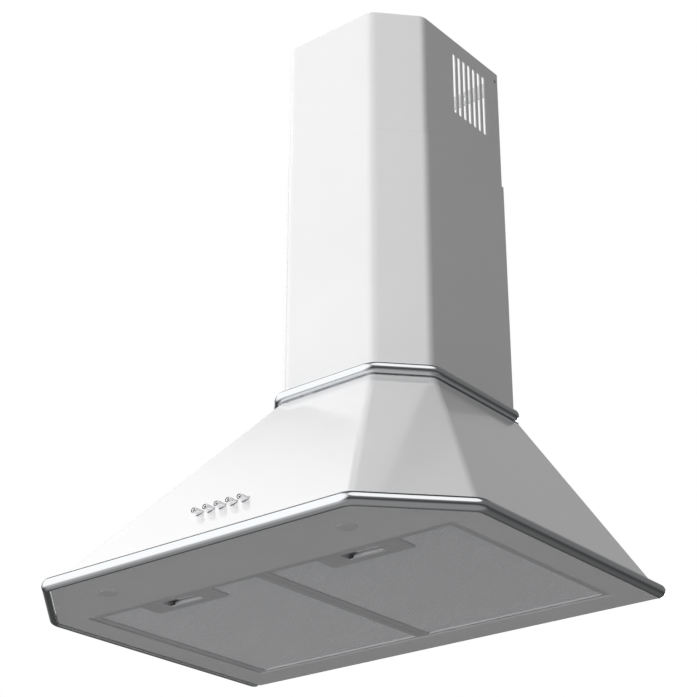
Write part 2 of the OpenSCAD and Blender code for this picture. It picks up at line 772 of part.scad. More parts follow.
// The three-armed bracket holds the motor inside the right inlet
motor_ring_r = motor_r - 2*head_r;
module motor_bracket() color("#a9adb2") {
    difference() {
        union() {
            difference() {
                shaft_cylinder(inlet_r + ring_w, bracket_x, housing_wall);
                shaft_cylinder(inlet_r, bracket_x - over, housing_wall + 2*over);
            }
            shaft_cylinder(motor_r, bracket_x, housing_wall);
            for (i = [0:arm_count - 1])
                translate([bracket_x, scroll_y, shaft_z]) rotate([90 + 360*i/arm_count, 0, 0])
                    translate([0, 0, -arm_w/2]) cube([housing_wall, inlet_r + ring_w/2, arm_w]);
        }
        shaft_cylinder(motor_boss_r + clear, bracket_x - over, housing_wall + 2*over);
        arm_places(inlet_r + ring_w/2) translate([0, 0, bracket_x - over])
            cylinder(r = screw_r + screw_play, h = housing_wall + 2*over);
        arm_places(motor_ring_r) translate([0, 0, bracket_x - over])
            cylinder(r = screw_r + screw_play, h = housing_wall + 2*over);
    }
}

module motor_screws() color("#8f9398") {
    arm_places(inlet_r + ring_w/2) translate([0, 0, bracket_x + housing_wall])
        mirror([0, 0, 1]) screw(2*housing_wall + over);
    arm_places(motor_ring_r) translate([0, 0, bracket_x + housing_wall])
        mirror([0, 0, 1]) screw(2*housing_wall + over);
}

// The motor reaches into the wheel's open right half
motor_boss_r = 20;
motor_boss_h = 8;
motor_gap = 10;
module motor_body() color("#7d8084") {
    start = motor_gap + blade_t;
    difference() {
        union() {
            shaft_cylinder(motor_r, start, bracket_x - start);
            shaft_cylinder(motor_boss_r, bracket_x - over, motor_boss_h + housing_wall + over);
        }
        shaft_cylinder(shaft_r + running_play, start - over, bracket_x);
        arm_places(motor_ring_r) translate([0, 0, bracket_x - housing_wall - 2*over])
            cylinder(r = screw_r + screw_play, h = housing_wall + 3*over);
    }
}

module motor_shaft() color("#d0d3d6") {
    shaft_cylinder(shaft_r, -hub_r, hub_r + bracket_x);
}

// The wheel turns on the shaft, with its blades on both sides of one disc
module impeller() color("#9a9da1") {
    disc_t = housing_wall;
    rim_w = 3;
    difference() {
        union() {
            shaft_cylinder(wheel_r - over, -disc_t/2, disc_t);
            shaft_cylinder(hub_r, -hub_r, 2*hub_r - disc_t);
            for (side = [-1, 1]) difference() {
                shaft_cylinder(wheel_r, side*(wheel_w/2 - rim_w/2) - rim_w/2, rim_w);
                shaft_cylinder(wheel_r - blade_d, side*(wheel_w/2 - rim_w/2) - rim_w/2 - over, rim_w + 2*over);
            }
            for (i = [0:blade_count - 1])
                translate([-wheel_w/2, scroll_y, shaft_z]) rotate([360*i/blade_count, 0, 0])
                    translate([0, wheel_r - blade_d/2 - over, 0]) rotate([blade_lean, 0, 0])
                        translate([0, -(blade_d - over)/2, -blade_t/2]) cube([wheel_w, blade_d - over, blade_t]);
        }
        shaft_cylinder(shaft_r, -hub_r - over, 2*hub_r + 2*over);
    }
}

// The running capacitor is clipped to the back panel
clip_t = 1;
clip_w = 12;
clip_play = 0.1;
cap_y = -(sheet + clip_t + clip_play + cap_r + clip_play);
module capacitor() color("#e4e2dc") {
    translate([0, cap_y, cap_z]) rotate([0, 90, 0]) cylinder(r = cap_r, h = cap_len, center = true);
}
module capacitor_clip() color("#6f7378") {
    difference() {
        union() {
            translate([0, cap_y, cap_z]) rotate([0, 90, 0])
                cylinder(r = cap_r + clip_play + clip_t, h = clip_w, center = true);
            block([-clip_w/2, -(sheet + clip_t), cap_z - cap_r],
                [clip_w/2, -sheet, cap_z + cap_r + clip_w]);
        }
        translate([0, cap_y, cap_z]) rotate([0, 90, 0])
            cylinder(r = cap_r + clip_play, h = clip_w + 2*over, center = true);
        block([-(clip_w/2 + over), cap_y - cap_r - clip_t - over, cap_z - cap_r/3],
            [clip_w/2 + over, cap_y, cap_z + cap_r/3]);
    }
}

// The round collar that the duct slides over, with its pair of non-return flaps
flap_z = plate_top + flange_t + damper_h;
collar_bore = collar_r - collar_wall;
stop_w = 3;
module duct_collar() color("#4a4d51") {
    difference() {
        union() {
            block([-flange_half, collar_y - flange_half, plate_top],
                [flange_half, collar_y + flange_half, plate_top + flange_t]);
            translate([0, collar_y, plate_top]) cylinder(r = collar_r, h = flange_t + collar_h);
        }
        translate([0, collar_y, plate_top - over])
            cylinder(r = collar_bore - stop_w, h = flange_t + collar_h + 2*over);
        translate([0, collar_y, flap_z - flap_t/2 - clear])
            cylinder(r = collar_bore, h = collar_h);
        translate([0, collar_y, plate_top - over])
            cylinder(r = collar_bore, h = damper_h + over - 2*collar_wall);
        translate([0, 0, flap_z]) translate([0, collar_y, 0]) rotate([90, 0, 0])
            cylinder(r = knuckle_r + clear, h = 2*collar_bore, center = true);
        translate([0, collar_y, flap_z]) rotate([90, 0, 0])
            cylinder(r = pin_r + screw_play, h = 2*(collar_bore + collar_wall/2), center = true);
        blower_screw_places() translate([0, 0, plate_top - over])
            cylinder(r = screw_r + screw_play, h = flange_t + 2*over);
    }
}

module blower_screws() color("#a9adb2") {
    blower_screw_places() translate([0, 0, plate_top + flange_t])
        mirror([0, 0, 1]) screw(2*flange_t + 2*sheet);
}

module damper_pin() color("#c9ccd0") {
    translate([0, collar_y, flap_z]) rotate([90, 0, 0])
        cylinder(r = pin_r, h = 2*(collar_bore + collar_wall/2 - screw_play), center = true);
}

// One flap: a half disc whose knuckles take every second place on the pin
knuckle_count = 4;
knuckle_len = 2*(collar_bore - knuckle_r)/knuckle_count;
module damper_flap(side) {
    own = side < 0 ? 0 : 1;
    flap_r = collar_bore - flap_play;
    translate([0, collar_y, flap_z]) difference() {
        union() {
            intersection() {
                translate([0, 0, -flap_t/2]) cylinder(r = flap_r, h = flap_t);
                block([0, -flap_r, -flap_t], [side*flap_r, flap_r, flap_t]);
            }
            for (i = [0:knuckle_count - 1]) if (i % 2 == own)
                translate([0, (i - knuckle_count/2)*knuckle_len + clear, 0]) rotate([-90, 0, 0])
                    cylinder(r = knuckle_r, h = knuckle_len - 2*clear);
        }
        rotate([90, 0, 0]) cylinder(r = pin_r + running_play, h = 2*collar_r, center = true);
        for (i = [0:knuckle_count - 1]) if (i % 2 != own)
            translate([0, (i - knuckle_count/2)*knuckle_len - clear, 0]) rotate([-90, 0, 0])
                cylinder(r = knuckle_r + 2*clear, h = knuckle_len + 2*clear);
        for (end = [-1, 1])
            block([-(knuckle_r + clear), end*(knuckle_len*knuckle_count/2 - clear), -flap_t],
                [knuckle_r + clear, end*collar_r, flap_t]);
    }
}
module damper_flap_left() color("#5b5e62") { damper_flap(-1); }
module damper_flap_right() color("#5b5e62") { damper_flap(1); }

// Junction box on the back panel
box_low = [box_x, -sheet - box_size.y, box_z];
box_high = [box_x + box_size.x, -sheet, box_z + box_size.z];
box_wall = 2;
module junction_box() color("#3f4246") {
    difference() {
        block(box_low, box_high);
        block([box_low.x + box_wall, box_low.y - over, box_low.z + box_wall],
            [box_high.x - box_wall, box_high.y - box_wall, box_high.z - box_wall]);
    }
}
module junction_box_lid() color("#4a4d51") {
    block([box_low.x, box_low.y - lid_t, box_low.z], [box_high.x, box_low.y, box_high.z]);
    block([box_low.x + box_wall + clear, box_low.y - lid_t/2, box_low.z + box_wall + clear],
        [box_high.x - box_wall - clear, box_low.y + box_wall, box_high.z - box_wall - clear]);
}

// Gland for the mains lead, through the support plate into the chimney
module cable_gland() color("#2f3134") {
    translate([gland_x, -gland_y, 0]) difference() {
        union() {
            translate([0, 0, plate_top]) cylinder(r = gland_r, h = gland_h);
            translate([0, 0, canopy_top_z - 2*sheet])
                cylinder(r = gland_bore_r + sheet - screw_play, h = 3*sheet + over);
        }
        translate([0, 0, canopy_top_z - 3*sheet]) cylinder(r = gland_bore_r, h = gland_h + 6*sheet);
    }
}

// The bank of push-button switches stands on a bracket on the underside panel
switch_margin = 12;
switch_h = 24;
switch_half = (button_count - 1)/2*button_pitch + switch_margin;
switch_front = button_face_y + switch_h/2 + 2*sheet;
switch_rear = button_end_y + switch_margin;
switch_low = button_z - switch_h/2;
bracket_foot = 12;
module switch_bracket() color("#b9bcbf") {
    block([-switch_half, switch_front, switch_low - sheet], [switch_half, switch_rear, switch_low]);
    block([-switch_half, switch_rear - sheet, sheet], [switch_half, switch_rear, switch_low]);
    block([-switch_half, switch_rear - bracket_foot, sheet], [switch_half, switch_rear, hem_top]);
}
module switch_block() color("#2f3134") {
    difference() {
        block([-switch_half, switch_front, switch_low], [switch_half, switch_rear, switch_low + switch_h]);
        for (i = [1:button_count])
            translate([button_x(i), switch_front - over, button_z]) rotate([-90, 0, 0])
                cylinder(r = button_r + running_play, h = button_end_y + button_travel + 2*over - switch_front);
    }
}

module button(i) {
    translate([button_x(i), button_end_y, button_z]) rotate([90, 0, 0]) rotate_extrude() polygon([
        [0, 0],
        [button_r, 0],
        for (a = [0:15:90])
            [button_r - button_round*(1 - cos(a)), button_end_y - button_tip_y - button_round*(1 - sin(a))],
        [0, button_end_y - button_tip_y]
    ]);
}
module button_1() color("#dcdfe2") { button(1); }
module button_2() color("#dcdfe2") { button(2); }
module button_3() color("#dcdfe2") { button(3); }
module button_4() color("#dcdfe2") { button(4); }
module button_5() color("#dcdfe2") { button(5); }

// The two lamps in the underside
lens_step = 15;
module lamp_lens(side) {
    neck_r = lamp_r - lamp_flange_w;
    translate([side*lamp_x, lamp_y, 0]) rotate_extrude() polygon([
        [0, -lens_drop],
        for (a = [lens_step:lens_step:90]) [lamp_r*sin(a), -lens_drop*cos(a)],
        [neck_r, 0],
        [neck_r, sheet],
        [0, sheet]
    ]);
}
module lamp_lens_left() color("#9a9a98") { lamp_lens(-1); }
module lamp_lens_right() color("#9a9a98") { lamp_lens(1); }

module lamp_body(side) {
    translate([side*lamp_x, lamp_y, sheet]) {
        cylinder(r = lamp_r + lamp_flange_w, h = sheet);
        cylinder(r = lamp_r, h = lamp_body_h);
    }
}
module lamp_body_left() color("#c3c6c9") { lamp_body(-1); }
module lamp_body_right() color("#c3c6c9") { lamp_body(1); }

// The lamp driver lies on the panel beside the right lamp
driver_x = lamp_x - lamp_r - 2*lamp_flange_w - driver_size.x;
driver_y = lamp_y - driver_size.y/2;
driver_top = sheet + driver_size.z;
module lamp_driver() color("#e4e2dc") {
    translate([driver_x, driver_y, sheet]) cube(driver_size);
}

// Inner leads, as round cables along straight runs
module lead(points) {
    for (i = [0:len(points) - 2])
        let (a = points[i], b = points[i + 1], v = b - a)
        translate(a) rotate([0, acos(v.z/norm(v)), atan2(v.y, v.x)]) cylinder(r = lead_r, h = norm(v));
    for (i = [1:len(points) - 2]) translate(points[i]) rotate(lead_turn) sphere(r = lead_r + lead_knee);
}
lead_step = 4*lead_r;
lead_knee = 0.2;
lead_turn = [20, 35, 0];
box_mid_y = -sheet - box_size.y/2;
motor_end = bracket_x + housing_wall + motor_boss_h;
motor_lead_x = box_low.x + box_size.x/2;
switch_lead_x = box_high.x - 2*lead_r;
driver_lead_x = motor_lead_x + lead_step + lead_r;
lamp_lead_z = driver_top + lead_step;

module motor_lead() color("#55585c") {
    lead([
        [motor_end, scroll_y, shaft_z],
        [motor_lead_x, scroll_y, shaft_z],
        [motor_lead_x, scroll_y, box_z - 2*lead_step],
        [motor_lead_x, box_mid_y, box_z - 2*lead_step],
        [motor_lead_x, box_mid_y, box_z]
    ]);
}
module switch_lead() color("#55585c") {
    x = switch_half - lead_step;
    lead([
        [x, switch_rear, button_z],
        [x, switch_rear + lead_step, button_z],
        [switch_lead_x, switch_rear + lead_step, button_z],
        [switch_lead_x, box_mid_y, button_z],
        [switch_lead_x, box_mid_y, box_z]
    ]);
}
module lamp_leads() color("#55585c") {
    for (side = [-1, 1])
        let (x = driver_x + driver_size.x/2 + side*lead_step)
        lead([
            [side*lamp_x, lamp_y, sheet + lamp_body_h],
            [side*lamp_x, lamp_y, lamp_lead_z],
            [x, lamp_y, lamp_lead_z],
            [x, lamp_y, driver_top]
        ]);
}
module driver_lead() color("#55585c") {
    z = sheet + driver_size.z/2;
    y = driver_y + driver_size.y;
    lead([
        [driver_lead_x, y, z],
        [driver_lead_x, y + lead_step, z],
        [driver_lead_x, y + lead_step, lamp_lead_z],
        [driver_lead_x, box_mid_y, lamp_lead_z],
        [driver_lead_x, box_mid_y, box_z]
    ]);
}

// The grease filters. Each hangs by two tabs on the hem and is held by its latch at the front.
module filter_frame(side) {
    x0 = filter_gap/2;
    x1 = x0 + filter_w;
    mid = (x0 + x1)/2;
    difference() {
        union() {
            block([side*x0, filter_front, filter_recess], [side*x1, filter_rear, filter_top]);
            for (tab = [-1, 1]) {
                x = side*mid + tab*tab_gap/2;
                block([x - tab_w/2, filter_rear - frame_wall/2, hem_top],
                    [x + tab_w/2, tab_reach - opening_rear, hem_top + frame_wall]);
            }
        }
        block([side*(x0 + frame_border), border_y, filter_recess - over],
            [side*(x1 - frame_border), filter_rear - frame_rear_border, filter_top + over]);
        block([side*(x0 + frame_wall), filter_front + frame_wall, mesh_z],
            [side*(x1 - frame_wall), filter_rear - frame_wall, mesh_top]);
        block([side*mid - tongue_w/2 - clear, filter_front - over, tongue_z - clear],
            [side*mid + tongue_w/2 + clear, border_y, tongue_z + tongue_t + clear]);
    }
}
module filter_frame_left() color("#7b7b7b") { filter_frame(-1); }
module filter_frame_right() color("#7b7b7b") { filter_frame(1); }

filter_mid = (filter_gap + filter_w)/2;
cup_front = border_y;
cup_half = recess_w/2 + 2*cup_wall;
module filter_mesh(side) {
    x0 = filter_gap/2 + frame_wall;
    x1 = filter_gap/2 + filter_w - frame_wall;
    difference() {
        block([side*x0, filter_front + frame_wall, mesh_z], [side*x1, filter_rear - frame_wall, mesh_top]);
        block([side*filter_mid - cup_half - clear, cup_front - clear, mesh_z - over],
            [side*filter_mid + cup_half + clear, plate_rear + clear, mesh_top + over]);
        block([side*filter_mid - tongue_w/2 - clear, filter_front, tongue_z - clear],
            [side*filter_mid + tongue_w/2 + clear, border_y, mesh_top + over]);
    }
}
module filter_mesh_left() color("#9c9c9c") { filter_mesh(-1); }
module filter_mesh_right() color("#9c9c9c") { filter_mesh(1); }

// Handle plate with its finger recess, flush with the frame's border
recess_front = border_y + recess_start;
module filter_handle(side) {
    translate([side*filter_mid, 0, 0]) difference() {
        union() {
            difference() {
                block([-plate_w/2, border_y, filter_recess], [plate_w/2, plate_rear, mesh_z]);
                for (end = [-1, 1]) translate([end*plate_w/2, plate_rear, filter_recess - over])
                    difference() {
                        block([0, 0, 0] - [plate_corner_r*max(end, 0) - over*min(end, 0), plate_corner_r, 0],
                            [over*max(end, 0) - plate_corner_r*min(end, 0), over, frame_lip + 2*over]);
                        translate([-end*plate_corner_r, -plate_corner_r, -over])
                            cylinder(r = plate_corner_r, h = frame_lip + 4*over);
                    }
            }
            block([-cup_half, cup_front, mesh_z - frame_lip/2], [cup_half, plate_rear, mesh_top]);
        }
        block([-(cup_half - cup_wall), cup_front + cup_wall, mesh_z],
            [cup_half - cup_wall, plate_rear - cup_wall, mesh_top - cup_wall]);
        block([-recess_w/2, recess_front, filter_recess - over],
            [recess_w/2, recess_front + recess_d, mesh_z + over]);
        block([-tongue_w/2 - clear, cup_front - over, tongue_z - clear],
            [tongue_w/2 + clear, cup_front + cup_wall + over, tongue_z + tongue_t + clear]);
    }
}
module filter_handle_left() color("#787878") { filter_handle(-1); }
module filter_handle_right() color("#787878") { filter_handle(1); }

// The latch: a finger bar, a web and a tongue that points to the front
module filter_latch(side) {
    web = tongue_t;
    translate([side*filter_mid, 0, 0]) {
        translate([0, bar_y, bar_z]) rotate([0, 90, 0])
            cylinder(r = latch_bar_r, h = latch_bar_len, center = true);
        block([-tongue_w/2, bar_y - web/2, bar_z], [tongue_w/2, bar_y + web/2, tongue_z + tongue_t]);
        block([-tongue_w/2, tongue_tip, tongue_z], [tongue_w/2, bar_y + web/2, tongue_z + tongue_t]);
    }
}
module filter_latch_left() color("#e6e8ea") { filter_latch(-1); }
module filter_latch_right() color("#e6e8ea") { filter_latch(1); }

canopy_shell();
underside_panel();
back_panel();
back_panel_rivets();
lower_rail();
lower_rail_screws();
upper_rail();
upper_rail_screws();
support_plate();
lower_chimney_cover();
lower_cover_screws();
upper_chimney_cover();
upper_chimney_bracket();
upper_chimney_screws();
blower_housing();
blower_side_plate();
blower_screws();
motor_bracket();
motor_screws();
motor_body();
motor_shaft();
impeller();
capacitor();
capacitor_clip();
duct_collar();
damper_pin();
damper_flap_left();
damper_flap_right();
junction_box();
junction_box_lid();
cable_gland();
switch_bracket();
switch_block();
button_1();
button_2();
button_3();
button_4();
button_5();
lamp_lens_left();
lamp_lens_right();
lamp_body_left();
lamp_body_right();
lamp_driver();
motor_lead();
switch_lead();
lamp_leads();
driver_lead();
filter_frame_left();
filter_mesh_left();
filter_handle_left();
filter_latch_left();
filter_frame_right();
filter_mesh_right();
filter_handle_right();
filter_latch_right();
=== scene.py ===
from math import atan2, cos, hypot, pi, radians, sin, sqrt, tan

import bmesh
import bpy
from mathutils import Matrix, Vector
from mathutils.geometry import tessellate_polygon


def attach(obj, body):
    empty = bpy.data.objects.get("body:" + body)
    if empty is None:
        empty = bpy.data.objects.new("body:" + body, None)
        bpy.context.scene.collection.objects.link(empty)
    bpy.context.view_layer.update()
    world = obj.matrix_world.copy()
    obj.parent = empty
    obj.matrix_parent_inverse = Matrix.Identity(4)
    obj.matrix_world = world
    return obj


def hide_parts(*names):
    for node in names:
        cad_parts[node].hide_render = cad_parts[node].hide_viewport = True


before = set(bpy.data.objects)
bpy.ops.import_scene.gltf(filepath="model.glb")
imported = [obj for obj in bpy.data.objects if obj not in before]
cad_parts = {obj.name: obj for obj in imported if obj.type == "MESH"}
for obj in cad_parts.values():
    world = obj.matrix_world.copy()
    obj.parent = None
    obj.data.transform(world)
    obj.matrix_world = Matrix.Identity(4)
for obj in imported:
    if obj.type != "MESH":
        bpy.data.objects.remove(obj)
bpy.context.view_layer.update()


# The camera stands in front of the hood, to its right and below it, and looks up at the
# underside. Its place and focal length were fitted to the edges of the hood.
CAMERA_PLACE = (1.19515, -1.67361, -0.59669)
CAMERA_YAW = 0.676742
CAMERA_PITCH = 0.452538
FOCAL_PIXELS = 1731.32
FRAME_PIXELS = 697
SENSOR_WIDTH = 36.0

camera_data = bpy.data.cameras.new("camera")
camera_data.sensor_fit = "HORIZONTAL"
camera_data.sensor_width = SENSOR_WIDTH
camera_data.lens = FOCAL_PIXELS * SENSOR_WIDTH / FRAME_PIXELS
camera_data.clip_start = 0.05
camera_data.clip_end = 60.0
camera = bpy.data.objects.new("camera", camera_data)
camera.location = CAMERA_PLACE
camera.rotation_euler = (pi / 2 + CAMERA_PITCH, 0.0, CAMERA_YAW)
bpy.context.scene.collection.objects.link(camera)
bpy.context.scene.camera = camera
bpy.context.scene.view_settings.view_transform = "Standard"


# The studio: a pale floor far below the hood, three soft boxes and a plain room. The room is
# white at the left and overhead and dim elsewhere, which gives polished parts their bands.
FLOOR_HEIGHT = -3.0
FLOOR_HALF = 9.0
FLOOR_COLOUR = "#E6E6E6"
ROOM_FILL = 0.25
HOOD_MIDDLE = (0.0, -0.2, 0.2)
# Direction, narrow and wide edge of each white patch of the room, as cosines, and its tone
WHITE_SIDE = (-0.62, -0.72, 0.30)
WHITE_PATCHES = [(WHITE_SIDE, 0.85, 0.45, 1.25),
                 ((-0.66, -0.05, 0.75), 0.955, 0.925, 1.25),
                 ((0.50, -0.35, 0.79), 0.93, 0.76, 1.20),
                 ((-0.25, 0.45, 0.86), 0.95, 0.88, 0.45),
                 ((-0.30, 0.72, 0.62), 0.97, 0.92, 0.44),
                 ((-0.71, 0.55, 0.45), 0.97, 0.91, 1.00)]
DIM_ROOM_LOW, DIM_ROOM_HIGH = 0.06, 0.17
FLOOR_IN_GLOSS, FLOOR_BEHIND = 0.28, 0.13
FLOOR_BOOST = 1.7
# Cosines between which the walls, the floor, its boost and the horizon change their tone
WALL_SPAN, FLOOR_SPAN = (-0.20, 0.15), (0.25, 0.65)
BOOST_SPAN, HORIZON_SPAN = (0.15, 0.85), (-0.28, -0.70)
# Share of the floor that looks evenly white, and the paper's fibres per metre
FLOOR_EVEN, PAPER_FIBRES = 0.85, 900.0
# Name, place, size, power and whether polished parts mirror it, for each soft box; all of them
# face the hood, and the rear one lights the back panel and the inside of the chimney
SOFT_BOX_AIM = (0.0, -0.15, 0.30)
SOFT_BOXES = [("front_soft_box", (-0.12, -4.0, 0.72), 2.4, 103.0, False),
              ("left_soft_box", (-2.4, -0.75, 1.98), 1.8, 33.0, False),
              ("rear_soft_box", (-0.8, 3.4, 0.6), 1.0, 30.0, True)]


def linear(code):
    channels = [int(code[i:i + 2], 16) / 255 for i in (1, 3, 5)]
    return tuple(c / 12.92 if c <= 0.04045 else ((c + 0.055) / 1.055) ** 2.4
                 for c in channels) + (1.0,)


def add(tree, kind, inputs=None, **settings):
    made = tree.nodes.new(kind)
    for name, value in settings.items():
        setattr(made, name, value)
    for socket, value in (inputs or {}).items():
        if isinstance(value, bpy.types.NodeSocket):
            tree.links.new(value, made.inputs[socket])
        else:
            made.inputs[socket].default_value = value
    return made


def room_in_gloss(tree, direction):
    parts = add(tree, "ShaderNodeSeparateXYZ", {0: direction})
    walls = add(tree, "ShaderNodeMapRange", {"Value": parts.outputs["Z"], "From Min": WALL_SPAN[0],
                "From Max": WALL_SPAN[1], "To Min": DIM_ROOM_LOW, "To Max": DIM_ROOM_HIGH})
    floor_tone = add(tree, "ShaderNodeMapRange", {"Value": parts.outputs["Y"],
                     "From Min": FLOOR_SPAN[0], "From Max": FLOOR_SPAN[1],
                     "To Min": FLOOR_IN_GLOSS, "To Max": FLOOR_BEHIND}, interpolation_type="SMOOTHSTEP")
    to_white = add(tree, "ShaderNodeVectorMath", {0: direction, 1: Vector(WHITE_SIDE).normalized()},
                   operation="DOT_PRODUCT")
    boost = add(tree, "ShaderNodeMapRange", {"Value": to_white.outputs["Value"],
                "From Min": BOOST_SPAN[0], "From Max": BOOST_SPAN[1],
                "To Min": 1.0, "To Max": 1.0 + FLOOR_BOOST}, interpolation_type="SMOOTHSTEP")
    lit_floor = add(tree, "ShaderNodeMath", {0: floor_tone.outputs[0], 1: boost.outputs[0]},
                    operation="MULTIPLY")
    below = add(tree, "ShaderNodeMapRange", {"Value": parts.outputs["Z"], "From Min": HORIZON_SPAN[0],
                "From Max": HORIZON_SPAN[1], "To Min": walls.outputs[0], "To Max": lit_floor.outputs[0]},
                interpolation_type="SMOOTHSTEP")
    total = below.outputs[0]
    for centre, narrow, wide, strength in WHITE_PATCHES:
        near = add(tree, "ShaderNodeVectorMath", {0: direction, 1: Vector(centre).normalized()},
                   operation="DOT_PRODUCT")
        patch = add(tree, "ShaderNodeMapRange", {"Value": near.outputs["Value"], "From Min": wide,
                    "From Max": narrow, "To Min": 0.0, "To Max": strength},
                    interpolation_type="SMOOTHSTEP")
        lighter = add(tree, "ShaderNodeMath", {0: total, 1: patch.outputs[0]}, operation="MAXIMUM")
        total = lighter.outputs[0]
    return total


world = bpy.data.worlds.new("studio_room")
bpy.context.scene.world = world
world.use_nodes = True
room = world.node_tree
room.nodes.clear()
rays = add(room, "ShaderNodeLightPath")
heading = add(room, "ShaderNodeTexCoord")
straight = add(room, "ShaderNodeMath", {0: rays.outputs["Is Camera Ray"],
               1: rays.outputs["Is Transmission Ray"]}, operation="MAXIMUM")
gloss_or_fill = add(room, "ShaderNodeMix", {0: rays.outputs["Is Glossy Ray"], 2: ROOM_FILL,
                    3: room_in_gloss(room, heading.outputs["Generated"])}, data_type="FLOAT")
tone = add(room, "ShaderNodeMix", {0: straight.outputs[0], 2: gloss_or_fill.outputs[0], 3: 1.0},
           data_type="FLOAT")
room_light = add(room, "ShaderNodeBackground", {"Color": (1.0, 1.0, 1.0, 1.0), "Strength": tone.outputs[0]})
add(room, "ShaderNodeOutputWorld", {"Surface": room_light.outputs[0]})

floor_mesh = bpy.data.meshes.new("studio_floor")
floor_mesh.from_pydata([(x * FLOOR_HALF, y * FLOOR_HALF, FLOOR_HEIGHT)
                        for x, y in ((-1, -1), (1, -1), (1, 1), (-1, 1))], [], [(0, 1, 2, 3)])
floor = bpy.data.objects.new("studio_floor", floor_mesh)
bpy.context.scene.collection.objects.link(floor)
paper = bpy.data.materials.new("matt_studio_paper")
paper.use_nodes = True
sheet_tree = paper.node_tree
sheet_tree.nodes.clear()
floor_rays = add(sheet_tree, "ShaderNodeLightPath")
seen = add(sheet_tree, "ShaderNodeMath", {0: floor_rays.outputs["Is Camera Ray"],
           1: floor_rays.outputs["Is Transmission Ray"]}, operation="MAXIMUM")
seen_share = add(sheet_tree, "ShaderNodeMath", {0: seen.outputs[0], 1: FLOOR_EVEN}, operation="MULTIPLY")
glow_share = add(sheet_tree, "ShaderNodeMath", {0: seen_share.outputs[0],
                 1: floor_rays.outputs["Is Glossy Ray"]}, operation="MAXIMUM")
floor_spot = add(sheet_tree, "ShaderNodeTexCoord")
from_hood = add(sheet_tree, "ShaderNodeVectorMath", {0: floor_spot.outputs["Object"], 1: HOOD_MIDDLE},
                operation="SUBTRACT")
floor_heading = add(sheet_tree, "ShaderNodeVectorMath", {0: from_hood.outputs[0]}, operation="NORMALIZE")
glow_tone = add(sheet_tree, "ShaderNodeMix", {0: floor_rays.outputs["Is Glossy Ray"], 2: 1.0,
                3: room_in_gloss(sheet_tree, floor_heading.outputs[0])}, data_type="FLOAT")
fibres = add(sheet_tree, "ShaderNodeTexNoise", {"Scale": PAPER_FIBRES, "Detail": 3.0})
matt = add(sheet_tree, "ShaderNodeBsdfDiffuse", {"Color": linear(FLOOR_COLOUR)})
paper_bump = add(sheet_tree, "ShaderNodeBump", {"Height": fibres.outputs["Fac"], "Strength": 0.05,
                 "Distance": 0.0002})
sheet_tree.links.new(paper_bump.outputs["Normal"], matt.inputs["Normal"])
glow = add(sheet_tree, "ShaderNodeEmission", {"Color": (1.0, 1.0, 1.0, 1.0),
           "Strength": glow_tone.outputs[0]})
floor_mix = add(sheet_tree, "ShaderNodeMixShader", {0: glow_share.outputs[0], 1: matt.outputs[0],
                2: glow.outputs[0]})
add(sheet_tree, "ShaderNodeOutputMaterial", {"Surface": floor_mix.outputs[0]})
floor_mesh.materials.append(paper)

for name, place, size, power, mirrored_by_gloss in SOFT_BOXES:
    lamp = bpy.data.lights.new(name, "AREA")
    lamp.shape = "SQUARE"
    lamp.size = size
    lamp.energy = power
    soft_box = bpy.data.objects.new(name, lamp)
    soft_box.location = place
    soft_box.rotation_euler = (Vector(SOFT_BOX_AIM) - Vector(place)).to_track_quat("-Z", "Y").to_euler()
    soft_box.visible_glossy = mirrored_by_gloss
    bpy.context.scene.collection.objects.link(soft_box)


# The back panel is a zinc-coated steel sheet, pressed flat and riveted to the canopy's rear
# lips. It closes the rear and carries the hood on four wall screws.
METRES = 0.001


def start_material(name, colour, metallic, roughness):
    made = bpy.data.materials.new(name)
    made.use_nodes = True
    tree = made.node_tree
    shader = tree.nodes["Principled BSDF"]
    shader.inputs["Base Color"].default_value = linear(colour)
    shader.inputs["Metallic"].default_value = metallic
    shader.inputs["Roughness"].default_value = roughness
    place = add(tree, "ShaderNodeTexCoord")
    millimetres = add(tree, "ShaderNodeVectorMath", {0: place.outputs["Object"],
                      1: (1 / METRES,) * 3}, operation="MULTIPLY")
    return made, tree, shader, millimetres.outputs[0]


def dress(material, *names):
    for name in names:
        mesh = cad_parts[name].data
        mesh.materials.clear()
        mesh.materials.append(material)


# Hot-dip galvanised steel: zinc crystals of about 12 mm lie in flat facets, each of which
# mirrors the room a little lighter or darker than the next.
SPANGLE = 12.0
galvanised, tree, shader, spot = start_material("galvanised_steel", "#B4B8BC", 1.0, 0.42)
crystals = add(tree, "ShaderNodeTexVoronoi", {"Vector": spot, "Scale": 1 / SPANGLE, "Randomness": 1.0})
crystal_tone = add(tree, "ShaderNodeSeparateColor", {0: crystals.outputs["Color"]})
zinc = add(tree, "ShaderNodeMix", {0: crystal_tone.outputs[0], 6: linear("#A2A6AB"),
           7: linear("#C6C9CC")}, data_type="RGBA")
tree.links.new(zinc.outputs[2], shader.inputs["Base Color"])
crystal_gloss = add(tree, "ShaderNodeMapRange", {"Value": crystal_tone.outputs[1], "To Min": 0.34,
                    "To Max": 0.52})
tree.links.new(crystal_gloss.outputs[0], shader.inputs["Roughness"])
crystal_grain = add(tree, "ShaderNodeTexNoise", {"Vector": spot, "Scale": 1.2, "Detail": 4.0})
zinc_bump = add(tree, "ShaderNodeBump", {"Height": crystal_grain.outputs["Fac"], "Strength": 0.12,
                "Distance": 0.0002})
tree.links.new(zinc_bump.outputs["Normal"], shader.inputs["Normal"])

